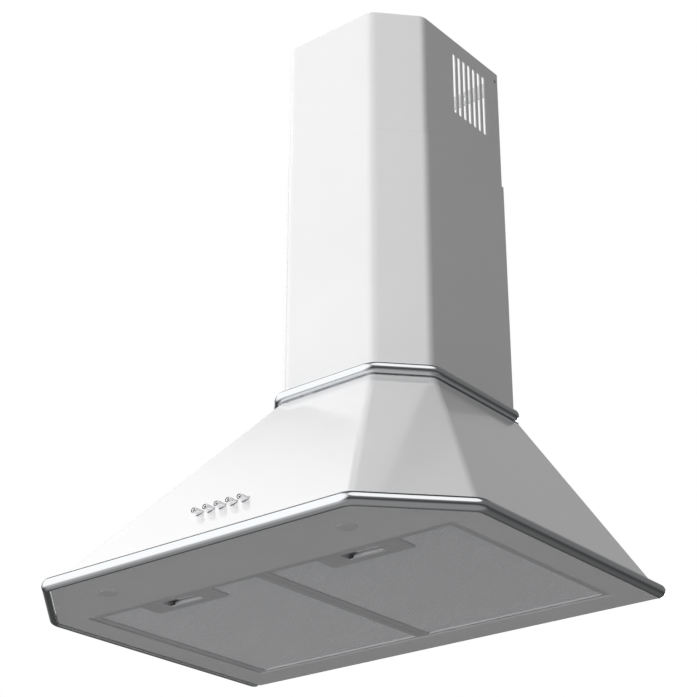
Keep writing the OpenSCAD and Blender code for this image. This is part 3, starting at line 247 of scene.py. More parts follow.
# Bright zinc plating on turned steel: nearly mirror smooth, with a faint blue cast and fine
# turning marks about 0.4 mm apart that break up the highlights.
plated, tree, shader, spot = start_material("bright_zinc_plating", "#C4C8CE", 1.0, 0.24)
plating = add(tree, "ShaderNodeTexNoise", {"Vector": spot, "Scale": 1 / 0.4, "Detail": 3.0})
plating_gloss = add(tree, "ShaderNodeMapRange", {"Value": plating.outputs["Fac"], "To Min": 0.16,
                    "To Max": 0.34})
tree.links.new(plating_gloss.outputs[0], shader.inputs["Roughness"])
plating_bump = add(tree, "ShaderNodeBump", {"Height": plating.outputs["Fac"], "Strength": 0.08,
                   "Distance": 0.0001})
tree.links.new(plating_bump.outputs["Normal"], shader.inputs["Normal"])

dress(galvanised, "back_panel")
dress(plated, "back_panel_rivets")


# The canopy is one folded and welded steel sheet, 1.5 mm thick, with a short upright skirt,
# rear lips for the back panel and a lip at the top. It is enamelled after welding.
HOOD_WIDTH, HOOD_DEPTH, HOOD_CHAMFER = 600.0, 449.0, 88.0
TOP_WIDTH, TOP_DEPTH, TOP_CHAMFER = 244.6, 231.2, 51.9
CHAMFER_DEPTH_SHARE = 1.06
CHAMFER_TRIM = (1 + CHAMFER_DEPTH_SHARE - hypot(1, CHAMFER_DEPTH_SHARE)) / CHAMFER_DEPTH_SHARE
SKIRT_HEIGHT, CANOPY_HEIGHT = 6.0, 260.0
CANOPY_SHEET, CANOPY_LIP, CANOPY_BEND = 1.5, 14.0, 14.0
CANOPY_LOW = 1.2
FOLD_SOFTNESS = 1.6
SHEET = 1.2
# Rise above the canopy's foot and inset of its eased lower edge, outside and inside
FOOT_OUTSIDE, FOOT_INSIDE = [(0.0, 0.35), (0.15, 0.1), (0.4, 0.0)], [(0.0, 1.15), (0.15, 1.4)]
# Heights between the edges, close together where the skirt turns into the slope
SLOPE_HEIGHTS = [3.4, 4.6, 5.3, 6.0, 6.7, 7.6, 9.0, 14.0, 120.0]
# Drop below the canopy's top and inset of its rounded upper edge, outside and inside
TOP_OUTSIDE = [(1.6, 0.0), (0.9, 0.15), (0.3, 0.55), (0.0, 1.3)]
TOP_INSIDE = [(1.5, CANOPY_SHEET), (1.3, 1.7), (SHEET, 2.2)]
BEND_STEPS = 10
# A rear lip's fold, the sharpest fold on an inner face, and the least lip and bend left by an inset
LIP_FOLD, SHARPEST_FOLD, LEAST_LIP, LEAST_BEND = 2.0, 0.05, 0.5, 0.5
# Radius at which a turned profile starts beside its axis
AXIS = 0.02
BUTTON_COUNT, BUTTON_PITCH, BUTTON_HEIGHT, BUTTON_RADIUS = 5, 16.5, 62.0, 4.0
BUTTON_PLAY, HOLE_REACH = 0.7, 16.0


def rounded(path, radii, steps=BEND_STEPS):
    points = [Vector(path[0])]
    for before, corner, after, radius in zip(path, path[1:], path[2:], radii):
        corner = Vector(corner)
        back = (Vector(before) - corner).normalized()
        ahead = (Vector(after) - corner).normalized()
        half = back.angle(ahead) / 2
        centre = corner + (back + ahead).normalized() * radius / sin(half)
        arm = corner + back * radius / tan(half) - centre
        points += [centre + Matrix.Rotation((pi - 2 * half) * i / steps, 2) @ arm
                   for i in range(steps + 1)]
    points.append(Vector(path[-1]))
    return points


def plan(width, depth, chamfer, bend, inset, wall_gap=0.0, lip=0.0):
    half, front = width / 2 - inset, depth - inset
    cut = chamfer - inset * CHAMFER_TRIM
    right = [(half - cut, -front), (half, -(front - cut * CHAMFER_DEPTH_SHARE))]
    radii = [bend - inset] * 2
    if lip:
        rear = -(wall_gap + inset)
        right += [(half, rear), (min(half - LEAST_LIP, width / 2 - lip), rear)]
        radii += [max(LIP_FOLD - inset, SHARPEST_FOLD)]
    else:
        right += [(half, -wall_gap)]
    left = [(-x, y) for x, y in reversed(right)]
    return rounded(left + right, list(reversed(radii)) + radii)


def lifted(points, height):
    return [(p.x, p.y, height) for p in points]


def grid(bm, rows, wrap=False, closed=False):
    made = [[bm.verts.new(point) for point in row] for row in rows]
    pairs = list(zip(made, made[1:])) + ([(made[-1], made[0])] if wrap else [])
    for low, high in pairs:
        count = len(low)
        for i in range(count if closed else count - 1):
            j = (i + 1) % count
            bm.faces.new((low[i], low[j], high[j], high[i]))
    return made


def sheet_between(bm, outer, inner):
    front, rear = grid(bm, outer), grid(bm, inner)
    for a, b in ((front[0], rear[0]), (front[-1], rear[-1])):
        for i in range(len(a) - 1):
            bm.faces.new((a[i], a[i + 1], b[i + 1], b[i]))
    for end in (0, -1):
        for i in range(len(front) - 1):
            bm.faces.new((front[i][end], front[i + 1][end], rear[i + 1][end], rear[i][end]))


def box(bm, low, high):
    corners = [(x, y, z) for z in (low[2], high[2])
               for x, y in ((low[0], low[1]), (high[0], low[1]), (high[0], high[1]), (low[0], high[1]))]
    verts = [bm.verts.new(c) for c in corners]
    for face in ((3, 2, 1, 0), (4, 5, 6, 7), (0, 1, 5, 4), (1, 2, 6, 5), (2, 3, 7, 6), (3, 0, 4, 7)):
        bm.faces.new([verts[i] for i in face])


def turn(bm, profile, place, axis, sides=48):
    start = Vector(axis).normalized()
    across = start.orthogonal().normalized()
    other = start.cross(across)
    rows = [[Vector(place) + start * along
             + (across * cos(2 * pi * i / sides) + other * sin(2 * pi * i / sides)) * radius
             for i in range(sides)] for along, radius in profile]
    made = grid(bm, rows, closed=True)
    bm.faces.new(made[0])
    bm.faces.new(made[-1])


def apply_modifiers(obj):
    graph = bpy.context.evaluated_depsgraph_get()
    mesh = bpy.data.meshes.new_from_object(obj.evaluated_get(graph))
    obj.modifiers.clear()
    obj.data = mesh


def to_object(name, bm, merge=0.002):
    bmesh.ops.remove_doubles(bm, verts=bm.verts, dist=merge)
    bmesh.ops.dissolve_degenerate(bm, dist=merge / 4, edges=bm.edges)
    bmesh.ops.recalc_face_normals(bm, faces=bm.faces)
    bmesh.ops.scale(bm, vec=(METRES,) * 3, verts=bm.verts)
    mesh = bpy.data.meshes.new(name)
    bm.to_mesh(mesh)
    bm.free()
    obj = bpy.data.objects.new(name, mesh)
    bpy.context.scene.collection.objects.link(obj)
    return obj


def cut_away(obj, bm):
    cutter = to_object(obj.name + "_cutter", bm)
    bite = obj.modifiers.new("cut", "BOOLEAN")
    bite.object = cutter
    bite.solver = "EXACT"
    apply_modifiers(obj)
    bpy.data.objects.remove(cutter)


def fit(obj, body, slot, material, *nodes, sharp=32.0, edge=0.0):
    obj.data.materials.clear()
    obj.data.materials.append(material)
    if edge:
        rounding = obj.modifiers.new("edge", "BEVEL")
        rounding.width = edge * METRES
        rounding.segments = 2
        rounding.limit_method = "ANGLE"
        rounding.angle_limit = radians(50)
        rounding.miter_outer = "MITER_ARC"
        apply_modifiers(obj)
    obj.data.polygons.foreach_set("use_smooth", [True] * len(obj.data.polygons))
    obj.data.set_sharp_from_angle(angle=radians(sharp))
    flats = obj.modifiers.new("flats", "WEIGHTED_NORMAL")
    flats.keep_sharp = True
    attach(obj, body)
    if nodes:
        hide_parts(*nodes)


def canopy_outline(height, inset):
    up = height - SKIRT_HEIGHT
    share = (up + sqrt(up * up + FOLD_SOFTNESS ** 2)) / 2 / (CANOPY_HEIGHT - SKIRT_HEIGHT)
    points = plan(HOOD_WIDTH + (TOP_WIDTH - HOOD_WIDTH) * share,
                  HOOD_DEPTH + (TOP_DEPTH - HOOD_DEPTH) * share,
                  HOOD_CHAMFER + (TOP_CHAMFER - HOOD_CHAMFER) * share,
                  max(CANOPY_BEND, inset + LEAST_BEND), inset, SHEET, CANOPY_LIP)
    return lifted(points, height)


# Stove enamel, sprayed and baked: a dense white coat with a glassy gloss. The spray leaves an
# orange peel about 3 mm from crest to crest, which only ruffles the reflections a little. Tone
# and gloss drift slightly over 90 mm, as the coat's thickness does.
PEEL, DRIFT = 3.0, 90.0
white_enamel, tree, shader, spot = start_material("white_stove_enamel", "#F1F1F2", 0.0, 0.16)
shader.inputs["IOR"].default_value = 1.5
shader.inputs["Coat Weight"].default_value = 0.35
shader.inputs["Coat Roughness"].default_value = 0.05
peel = add(tree, "ShaderNodeTexNoise", {"Vector": spot, "Scale": 1 / PEEL, "Detail": 1.0,
           "Roughness": 0.4})
peel_bump = add(tree, "ShaderNodeBump", {"Height": peel.outputs["Fac"], "Strength": 0.10,
                "Distance": 0.00012})
tree.links.new(peel_bump.outputs["Normal"], shader.inputs["Normal"])
film = add(tree, "ShaderNodeTexNoise", {"Vector": spot, "Scale": 1 / DRIFT, "Detail": 2.0})
film_tone = add(tree, "ShaderNodeMix", {0: film.outputs["Fac"], 6: linear("#EEEEEF"),
                7: linear("#F3F3F4")}, data_type="RGBA")
tree.links.new(film_tone.outputs[2], shader.inputs["Base Color"])
film_gloss = add(tree, "ShaderNodeMapRange", {"Value": film.outputs["Fac"], "To Min": 0.13,
                 "To Max": 0.20})
tree.links.new(film_gloss.outputs[0], shader.inputs["Roughness"])

bm = bmesh.new()
levels = [(CANOPY_LOW + rise, inset) for rise, inset in FOOT_OUTSIDE]
levels += [(height, 0.0) for height in SLOPE_HEIGHTS]
levels += [(CANOPY_HEIGHT - drop, inset) for drop, inset in TOP_OUTSIDE]
inner_levels = [(CANOPY_LOW + rise, inset) for rise, inset in FOOT_INSIDE]
inner_levels += [(height, CANOPY_SHEET) for height, inset in levels[len(FOOT_INSIDE):-len(TOP_INSIDE)]]
inner_levels += [(CANOPY_HEIGHT - drop, inset) for drop, inset in TOP_INSIDE]
levels.append((CANOPY_HEIGHT, CANOPY_LIP))
inner_levels.append((CANOPY_HEIGHT - SHEET, CANOPY_LIP))
sheet_between(bm, [canopy_outline(*level) for level in levels],
              [canopy_outline(*level) for level in inner_levels])
canopy = to_object("enamelled_canopy", bm)
holes = bmesh.new()
button_face = -(HOOD_DEPTH + (TOP_DEPTH - HOOD_DEPTH) * (BUTTON_HEIGHT - SKIRT_HEIGHT)
                / (CANOPY_HEIGHT - SKIRT_HEIGHT))
button_places = [(i - (BUTTON_COUNT - 1) / 2) * BUTTON_PITCH for i in range(BUTTON_COUNT)]
for x in button_places:
    turn(holes, [(-HOLE_REACH, BUTTON_RADIUS + BUTTON_PLAY), (HOLE_REACH, BUTTON_RADIUS + BUTTON_PLAY)],
         (x, button_face, BUTTON_HEIGHT), (0, 1, 0))
cut_away(canopy, holes)
fit(canopy, "hood", "white_enamel", white_enamel, "canopy_shell")


# The underside panel is a steel sheet with a turned-up flange on three sides of its filter
# opening and a doubled hem at the rear. It is spot-welded into the skirt and sprayed grey.
OPENING_SIDE, OPENING_FRONT, OPENING_REAR = 261.0, -345.0, -42.5
FLANGE_TOP, HEM_WIDTH, HEM_TOP = 14.0, 10.0, 2.4
OPENING_BEND, OPENING_CORNER = 1.6, 1.0
# Flat margin round the opening's bend, easing of the flange's top, and the hem's step behind it
BEND_MARGIN, FLANGE_EASE, HEM_GAP = 0.6, 0.3, 0.2
# Inset of the panel's two faces, then height and inset along its eased outer edge
FACE_INSET = 1.0
PANEL_EDGE = [(0.0, FACE_INSET), (0.25, 0.8), (SHEET - 0.2, 0.8), (SHEET, FACE_INSET)]
# Where the rear flange is cut away above the hem: inwards, forwards, its rear end and its top
NOTCH_IN, NOTCH_AHEAD, NOTCH_REAR, NOTCH_TOP = 0.5, 2.0, -20.0, 20.0
# Inset of the upright flange inside the skirt, and its end before the wall
SKIRT_INSET, SKIRT_END = 1.8, 11.2
LAMP_PLACES = [(-170.0, -401.0), (170.0, -401.0)]
LAMP_HOLE = 8.1


def rectangle(left, right, front, rear, height, corner=1.0, steps=4):
    points = []
    for x, y, first in ((right, rear, 0), (left, rear, 90), (left, front, 180), (right, front, 270)):
        centre_x = x - corner if x == right else x + corner
        centre_y = y - corner if y == rear else y + corner
        points += [(centre_x + corner * cos(radians(first + 90 * i / steps)),
                    centre_y + corner * sin(radians(first + 90 * i / steps)), height)
                   for i in range(steps + 1)]
    return points


def circle(centre, radius, height, sides=32):
    return [(centre[0] + radius * cos(2 * pi * i / sides), centre[1] + radius * sin(2 * pi * i / sides),
             height) for i in range(sides)]


def fill(bm, *loops):
    verts = [bm.verts.new(point) for loop in loops for point in loop]
    for face in tessellate_polygon([[Vector(point) for point in loop] for loop in loops]):
        if len(set(face)) == 3:
            bm.faces.new([verts[i] for i in face])


# Sprayed pale grey enamel on the underside, less glossy than the canopy: an even satin coat
# with a fine dry-spray grain of about 0.8 mm that spreads its reflections. Its tone drifts
# slightly over 120 mm.
grey_enamel, tree, shader, spot = start_material("grey_satin_enamel", "#D4D4D5", 0.0, 0.42)
dry_spray = add(tree, "ShaderNodeTexNoise", {"Vector": spot, "Scale": 1 / 0.8, "Detail": 2.0})
dry_bump = add(tree, "ShaderNodeBump", {"Height": dry_spray.outputs["Fac"], "Strength": 0.15,
               "Distance": 0.0001})
tree.links.new(dry_bump.outputs["Normal"], shader.inputs["Normal"])
coat_depth = add(tree, "ShaderNodeTexNoise", {"Vector": spot, "Scale": 1 / 120.0, "Detail": 2.0})
coat_tone = add(tree, "ShaderNodeMix", {0: coat_depth.outputs["Fac"], 6: linear("#D0D0D1"),
                7: linear("#D8D8D9")}, data_type="RGBA")
tree.links.new(coat_tone.outputs[2], shader.inputs["Base Color"])


def panel_outline(height, inset, wall_gap=SHEET):
    return lifted(plan(HOOD_WIDTH, HOOD_DEPTH, HOOD_CHAMFER, CANOPY_BEND, inset, wall_gap), height)


def opening(out, height):
    return rectangle(-OPENING_SIDE - out, OPENING_SIDE + out, OPENING_FRONT - out, OPENING_REAR + out,
                     height, OPENING_CORNER + out)


bm = bmesh.new()
lower_rows = [opening(OPENING_BEND + BEND_MARGIN, 0.0)]
lower_rows += [opening(OPENING_BEND * (1 - sin(a)), OPENING_BEND * (1 - cos(a)))
               for a in [radians(15 * i) for i in range(7)]]
flange = [opening(0.0, FLANGE_TOP - FLANGE_EASE), opening(FLANGE_EASE, FLANGE_TOP),
          opening(SHEET - FLANGE_EASE, FLANGE_TOP), opening(SHEET, FLANGE_TOP - FLANGE_EASE),
          opening(SHEET, HEM_TOP), opening(OPENING_BEND + BEND_MARGIN, SHEET)]
grid(bm, lower_rows + flange, closed=True)
for height, round_opening in ((0.0, lower_rows[0]), (SHEET, flange[-1])):
    fill(bm, panel_outline(height, FACE_INSET), round_opening,
         *[circle(centre, LAMP_HOLE, height) for centre in LAMP_PLACES])
for centre in LAMP_PLACES:
    grid(bm, [circle(centre, LAMP_HOLE, 0.0), circle(centre, LAMP_HOLE, SHEET)], closed=True)
edge = grid(bm, [panel_outline(height, inset) for height, inset in PANEL_EDGE])
bm.faces.new([row[0] for row in edge] + [row[-1] for row in reversed(edge)])
panel = to_object("grey_underside", bm)
notch = bmesh.new()
box(notch, (-OPENING_SIDE + NOTCH_IN, OPENING_REAR - NOTCH_AHEAD, HEM_TOP),
    (OPENING_SIDE - NOTCH_IN, NOTCH_REAR, NOTCH_TOP))
cut_away(panel, notch)
bm = bmesh.new()
box(bm, (-OPENING_SIDE, OPENING_REAR + HEM_GAP, SHEET), (OPENING_SIDE, OPENING_REAR + HEM_WIDTH, HEM_TOP))
sheet_between(bm, *[[panel_outline(height, inset, SKIRT_END) for height in (SHEET, SKIRT_HEIGHT)]
                    for inset in (SKIRT_INSET, SKIRT_INSET + SHEET)])
skirt = to_object("underside_skirt_flange", bm)
fit(skirt, "hood", "grey_enamel", grey_enamel, edge=0.15)
fit(panel, "hood", "grey_enamel", grey_enamel, "underside_panel")


# The lower rail is a drawn half-round brass bar, bent round the canopy's skirt, rounded off at
# the wall, polished and chrome-plated. Seven screws hold it from inside.
RAIL_GAP = 0.3
LOWER_RAIL_RADIUS, LOWER_RAIL_OUT, LOWER_RAIL_HEIGHT = 7.5, 2.3, 4.8
RAIL_SIDES = 40
# The bar's rear edges are eased: its flat back ends this far in, then runs out and on by this much
RAIL_EDGE, EASE_OUT, EASE_ON = 0.35, 0.08, 0.22

# Bright chrome over polished brass: a mirror with a cold grey tint. Buffing leaves hair-fine
# lines along the bar, too fine to show, so here they are 2 mm apart and only blur the gloss.
chrome, tree, shader, spot = start_material("bright_chrome_plating", "#E2E4E6", 1.0, 0.07)
buffing = add(tree, "ShaderNodeTexNoise", {"Vector": spot, "Scale": 1 / 2.0, "Detail": 4.0})
buffing_gloss = add(tree, "ShaderNodeMapRange", {"Value": buffing.outputs["Fac"], "To Min": 0.04,
                    "To Max": 0.11})
tree.links.new(buffing_gloss.outputs[0], shader.inputs["Roughness"])
buffing_bump = add(tree, "ShaderNodeBump", {"Height": buffing.outputs["Fac"], "Strength": 0.04,
                   "Distance": 0.00005})
tree.links.new(buffing_bump.outputs["Normal"], shader.inputs["Normal"])

# Painted shade and painted reflection: a glossy near-black whose gloss is slightly uneven over about
# 1 mm. It paints the dark line of shade along the top of each rail, on the faces that look up by 31 to
# 61 degrees, and the dark reflections on the button tips.
LINE_LOW, LINE_HIGH = sin(radians(31)), sin(radians(61))
painted_dark, tree, shader, spot = start_material("painted_shade_and_reflection", "#161617", 0.0, 0.3)
gloss_unevenness = add(tree, "ShaderNodeTexNoise", {"Vector": spot, "Scale": 1 / 1.0, "Detail": 2.0})
uneven_gloss = add(tree, "ShaderNodeMapRange", {"Value": gloss_unevenness.outputs["Fac"], "To Min": 0.22,
                   "To Max": 0.40})
tree.links.new(uneven_gloss.outputs[0], shader.inputs["Roughness"])


def bar_section(radius, out):
    limit = pi - atan2(sqrt(radius ** 2 - out ** 2), out)
    rim = [(out + radius * cos(a), radius * sin(a))
           for a in [limit - 2 * limit * i / RAIL_SIDES for i in range(RAIL_SIDES + 1)]]
    low, high = rim[-1][1] + RAIL_EDGE, rim[0][1] - RAIL_EDGE
    return [(0.0, high), (EASE_OUT, high + EASE_ON)] + rim[1:-1] + [(EASE_OUT, low - EASE_ON), (0.0, low)]


def rail(name, width, depth, chamfer, bend, radius, out, height):
    bm = bmesh.new()
    section = bar_section(radius, out)
    reach = radius + out
    rows = []
    for away, rise in section:
        row = lifted(plan(width, depth, chamfer, bend, -(RAIL_GAP + away), reach), height + rise)
        end = [(width / 2 + RAIL_GAP + away * cos(a), -reach + away * sin(a), height + rise)
               for a in [radians(9 * i) for i in range(1, 11)]]
        rows.append([(-x, y, z) for x, y, z in reversed(end)] + row + end)
    made = grid(bm, rows, wrap=True)
    for end in (0, -1):
        bm.faces.new([row[end] for row in made])
    return to_object(name, bm)


# Paints a dark line of shade on the rail's faces that look up by 31 to 61 degrees: painted shade.
def paint_shade_line(obj):
    obj.data.materials.append(painted_dark)
    for face in obj.data.polygons:
        if LINE_LOW < face.normal.z < LINE_HIGH:
            face.material_index = 1


lower_rail = rail("chrome_lower_rail", HOOD_WIDTH, HOOD_DEPTH, HOOD_CHAMFER, CANOPY_BEND,
                  LOWER_RAIL_RADIUS, LOWER_RAIL_OUT, LOWER_RAIL_HEIGHT)
fit(lower_rail, "hood", "chrome", chrome, "lower_rail")
# A painted shade line along the top of the lower rail.
paint_shade_line(lower_rail)
dress(plated, "lower_rail_screws")


# The support plate lies on the canopy's top lip and carries the blower, the duct collar and
# the chimney. It is zinc-coated sheet, cut and punched in one stroke.
dress(galvanised, "support_plate")


# The blower hangs under the support plate: a spot-welded scroll of zinc-coated sheet with a
# cast motor that reaches into one side of the double wheel.
# Cast aluminium, shot-blasted: dull and slightly pitted at about 1 mm, darker in the pits.
cast_aluminium, tree, shader, spot = start_material("cast_aluminium", "#8E9194", 1.0, 0.5)
pits = add(tree, "ShaderNodeTexNoise", {"Vector": spot, "Scale": 1.0, "Detail": 3.0})
pit_tone = add(tree, "ShaderNodeMix", {0: pits.outputs["Fac"], 6: linear("#75787B"),
               7: linear("#A0A3A6")}, data_type="RGBA")
tree.links.new(pit_tone.outputs[2], shader.inputs["Base Color"])
pit_bump = add(tree, "ShaderNodeBump", {"Height": pits.outputs["Fac"], "Strength": 0.35,
               "Distance": 0.0003})
tree.links.new(pit_bump.outputs["Normal"], shader.inputs["Normal"])
dress(galvanised, "blower_housing", "blower_side_plate", "motor_bracket", "impeller")
dress(plated, "blower_screws", "motor_screws", "motor_shaft")
dress(cast_aluminium, "motor_body")


# The duct collar and its two non-return flaps are moulded ABS. A steel pin through the collar
# carries both flaps.
# Moulded ABS: nearly black, with a spark-eroded grain of about 0.6 mm that dulls the surface.
black_abs, tree, shader, spot = start_material("black_abs", "#2A2B2D", 0.0, 0.48)
grain = add(tree, "ShaderNodeTexNoise", {"Vector": spot, "Scale": 1 / 0.6, "Detail": 2.0})
grain_tone = add(tree, "ShaderNodeMix", {0: grain.outputs["Fac"], 6: linear("#242527"),
                 7: linear("#323335")}, data_type="RGBA")
tree.links.new(grain_tone.outputs[2], shader.inputs["Base Color"])
grain_bump = add(tree, "ShaderNodeBump", {"Height": grain.outputs["Fac"], "Strength": 0.25,
                 "Distance": 0.00015})
tree.links.new(grain_bump.outputs["Normal"], shader.inputs["Normal"])
dress(black_abs, "duct_collar", "damper_flap_left", "damper_flap_right")
dress(plated, "damper_pin")


# The electrics: a lidded junction box and a cable gland of ABS, and the motor's capacitor in
# its sprung clip on the back panel.
# Moulded white plastic, slightly warm, with a soft sheen and a barely visible flow texture
# about 5 mm wide.
white_plastic, tree, shader, spot = start_material("white_polypropylene", "#DEDCD6", 0.0, 0.4)
flow = add(tree, "ShaderNodeTexNoise", {"Vector": spot, "Scale": 1 / 5.0, "Detail": 2.0})
flow_tone = add(tree, "ShaderNodeMix", {0: flow.outputs["Fac"], 6: linear("#D8D6D0"),
                7: linear("#E3E1DB")}, data_type="RGBA")
tree.links.new(flow_tone.outputs[2], shader.inputs["Base Color"])
dress(black_abs, "junction_box", "junction_box_lid", "cable_gland", "switch_block")
dress(white_plastic, "capacitor", "lamp_driver")
dress(galvanised, "capacitor_clip", "switch_bracket")


# The five push buttons are turned brass pins, chrome-plated. The dark ring in the tip's groove and the
# dark dot in its dish are painted reflections. Each pin slides in the switch block behind the canopy's
# front.
BUTTON_LENGTH, BUTTON_BEHIND = 37.0, 26.0
BUTTON_END = button_face + BUTTON_BEHIND
BUTTON_TIP = BUTTON_END - BUTTON_LENGTH
BUTTON_EASE, BUTTON_ROUND = 0.3, 1.0
# Depth below the tip and radius along the ring groove, and the dish that lies inside it
TIP_GROOVE = [(0.05, 2.95), (0.45, 2.9), (0.5, 2.7), (0.5, 2.2), (0.4, 2.1), (0.15, 2.05)]
DISH_RADIUS, DISH_RIM, DISH_DEEP = 1.9, 0.15, 0.5
DISH_STEPS = (DISH_RADIUS, 1.5, 1.1, 0.7, 0.3, AXIS)
# The painted dark ring's inner and outer radius, how far it is sunk and its depth; then the dot's
RING_IN, RING_OUT, RING_SUNK, MARK_DEEP = 1.8, 3.25, 0.04, 0.6
DOT_RADIUS, DOT_SUNK = 0.9, 0.42
MARK_SIDES = 48

# Chrome on small pins that were polished in a tumbling barrel: brighter than the drawn rails,
# with a faint haze whose patches are about 1.5 mm wide.
pin_chrome, tree, shader, spot = start_material("barrel_polished_chrome", "#FBFBFC", 0.75, 0.12)
haze = add(tree, "ShaderNodeTexNoise", {"Vector": spot, "Scale": 1 / 1.5, "Detail": 2.0})
haze_gloss = add(tree, "ShaderNodeMapRange", {"Value": haze.outputs["Fac"], "To Min": 0.08,
                 "To Max": 0.18})
tree.links.new(haze_gloss.outputs[0], shader.inputs["Roughness"])


def tip_circle(x, radius, sunk):
    return [(x + radius * cos(a), BUTTON_TIP + sunk, BUTTON_HEIGHT + radius * sin(a))
            for a in [2 * pi * i / MARK_SIDES for i in range(MARK_SIDES)]]


for number, x in enumerate(button_places, start=1):
    bm = bmesh.new()
    profile = [(0.0, AXIS), (0.0, BUTTON_RADIUS - BUTTON_EASE), (BUTTON_EASE, BUTTON_RADIUS)]
    profile += [(BUTTON_LENGTH - BUTTON_ROUND * (1 - sin(a)), BUTTON_RADIUS - BUTTON_ROUND * (1 - cos(a)))
                for a in [radians(15 * i) for i in range(7)]]
    profile += [(BUTTON_LENGTH - sunk, radius) for sunk, radius in TIP_GROOVE]
    profile += [(BUTTON_LENGTH - DISH_RIM - DISH_DEEP * (1 - (radius / DISH_RADIUS) ** 2), radius)
                for radius in DISH_STEPS]
    turn(bm, profile, (x, BUTTON_END, BUTTON_HEIGHT), (0, -1, 0))
    button = to_object("chrome_button_%d" % number, bm, merge=0.0005)
    fit(button, "push_button_%d" % number, "chrome", pin_chrome, "button_%d" % number, sharp=50.0)
    bm = bmesh.new()
    # Black solids sunk into the tip: a ring and a dot of painted reflection.
    ring = [(RING_IN, MARK_DEEP), (RING_IN, RING_SUNK), (RING_OUT, RING_SUNK), (RING_OUT, MARK_DEEP)]
    grid(bm, [tip_circle(x, radius, sunk) for radius, sunk in ring], wrap=True, closed=True)
    turn(bm, [(BUTTON_LENGTH - 2 * MARK_DEEP, DOT_RADIUS), (BUTTON_LENGTH - DOT_SUNK, DOT_RADIUS)],
         (x, BUTTON_END, BUTTON_HEIGHT), (0, -1, 0), sides=24)
    dark_marks = to_object("button_inlay_%d" % number, bm, merge=0.0005)
    fit(dark_marks, "push_button_%d" % number, "black_plastic", painted_dark, sharp=50.0)


# Each lamp has a pressed glass lens, frosted inside, whose rim sits on the panel while its
# neck is held in the lamp's aluminium body above.
LENS_RADIUS, LENS_DROP, LENS_NECK = 10.8, 1.6, 7.8
LENS_FACE, LENS_CROWN = 8.2, 0.15
RIM_DROP = LENS_DROP - LENS_CROWN
# Pressed and etched glass: milky grey when the lamp is off, smooth and glossy outside, so its
# rounded rim catches the light on one side and the dark room on the other. The etching inside
# shows through as a faint grain of 0.7 mm.
frosted_glass, tree, shader, spot = start_material("frosted_glass", "#D6D6D7", 0.0, 0.12)
shader.inputs["IOR"].default_value = 1.52
shader.inputs["Transmission Weight"].default_value = 0.1
etching = add(tree, "ShaderNodeTexNoise", {"Vector": spot, "Scale": 1 / 0.7, "Detail": 2.0})
etch_bump = add(tree, "ShaderNodeBump", {"Height": etching.outputs["Fac"], "Strength": 0.1,
                "Distance": 0.0001})
tree.links.new(etch_bump.outputs["Normal"], shader.inputs["Normal"])
for side, place in zip(("left", "right"), LAMP_PLACES):
    bm = bmesh.new()
    crown = [(LENS_DROP - LENS_CROWN * (r / LENS_FACE) ** 2, r) for r in (AXIS, 1.5, 3.0, 4.5, 6.0, 7.2)]
    dome = [(RIM_DROP * cos(a), LENS_FACE + (LENS_RADIUS - LENS_FACE) * sin(a))
            for a in [radians(7.5 * i) for i in range(12)]]
    profile = crown + dome + [(0.0, LENS_RADIUS), (0.0, LENS_NECK), (-SHEET, LENS_NECK), (-SHEET, AXIS)]
    turn(bm, profile, (place[0], place[1], 0.0), (0, 0, -1), sides=64)
    lens = to_object("lamp_glass_" + side, bm, merge=0.0005)
    fit(lens, "hood", "frosted_glass", frosted_glass, "lamp_lens_" + side)
dress(cast_aluminium, "lamp_body_left", "lamp_body_right")


# The inner leads are PVC-sheathed cords, laid along straight runs between the junction box and
# the motor, the switches and the lamps.
# PVC sheath: dark grey, matt and slightly waxy, with faint drawing marks about 1.5 mm apart.
pvc, tree, shader, spot = start_material("grey_pvc_sheath", "#55585C", 0.0, 0.45)
drawing = add(tree, "ShaderNodeTexNoise", {"Vector": spot, "Scale": 1 / 1.5, "Detail": 2.0})
drawing_tone = add(tree, "ShaderNodeMix", {0: drawing.outputs["Fac"], 6: linear("#4C4F53"),
                   7: linear("#5E6165")}, data_type="RGBA")
tree.links.new(drawing_tone.outputs[2], shader.inputs["Base Color"])
dress(pvc, "motor_lead", "switch_lead", "lamp_leads", "driver_lead")


# The lower chimney cover is a folded steel sheet of 1.2 mm, open at the wall, enamelled white.
# It stands on the support plate, and two screws hold its foot.
COVER_WIDTH, COVER_DEPTH, COVER_CHAMFER, COVER_BEND, COVER_LIP = 233.0, 225.4, 48.6, 18.0, 14.0
COVER_FOOT, SEAM_HEIGHT = 261.2, 604.0
COVER_EDGE = 0.25
TAB_WIDTH, TAB_SEAM = 12.0, 0.02


def folded_cover(bm, inset, wall_gap, low, high):
    def ring(height, deep):
        return lifted(plan(COVER_WIDTH - 2 * inset, COVER_DEPTH - inset,
                           COVER_CHAMFER - inset * CHAMFER_TRIM, COVER_BEND - inset,
                           deep, wall_gap, COVER_LIP), height)
    sheet_between(bm, *[[ring(low, edge), ring(low + COVER_EDGE, face), ring(high - COVER_EDGE, face),
                         ring(high, edge)]
                        for face, edge in ((0.0, COVER_EDGE), (SHEET, SHEET - COVER_EDGE))])


bm = bmesh.new()
folded_cover(bm, 0.0, 0.0, COVER_FOOT, SEAM_HEIGHT)
lower_cover = to_object("lower_cover_sheet", bm)
fit(lower_cover, "hood", "white_enamel", white_enamel, "lower_chimney_cover")
bm = bmesh.new()
tab_middle = -COVER_DEPTH / 2
tab_root = COVER_WIDTH / 2 - SHEET
for side in (-1, 1):
    near, far = sorted((side * (tab_root - TAB_SEAM), side * (tab_root - TAB_WIDTH)))
    box(bm, (near, tab_middle - TAB_WIDTH, COVER_FOOT), (far, tab_middle + TAB_WIDTH, COVER_FOOT + SHEET))
tabs = to_object("lower_cover_tabs", bm)
fit(tabs, "hood", "white_enamel", white_enamel, edge=0.2)
dress(plated, "lower_cover_screws")


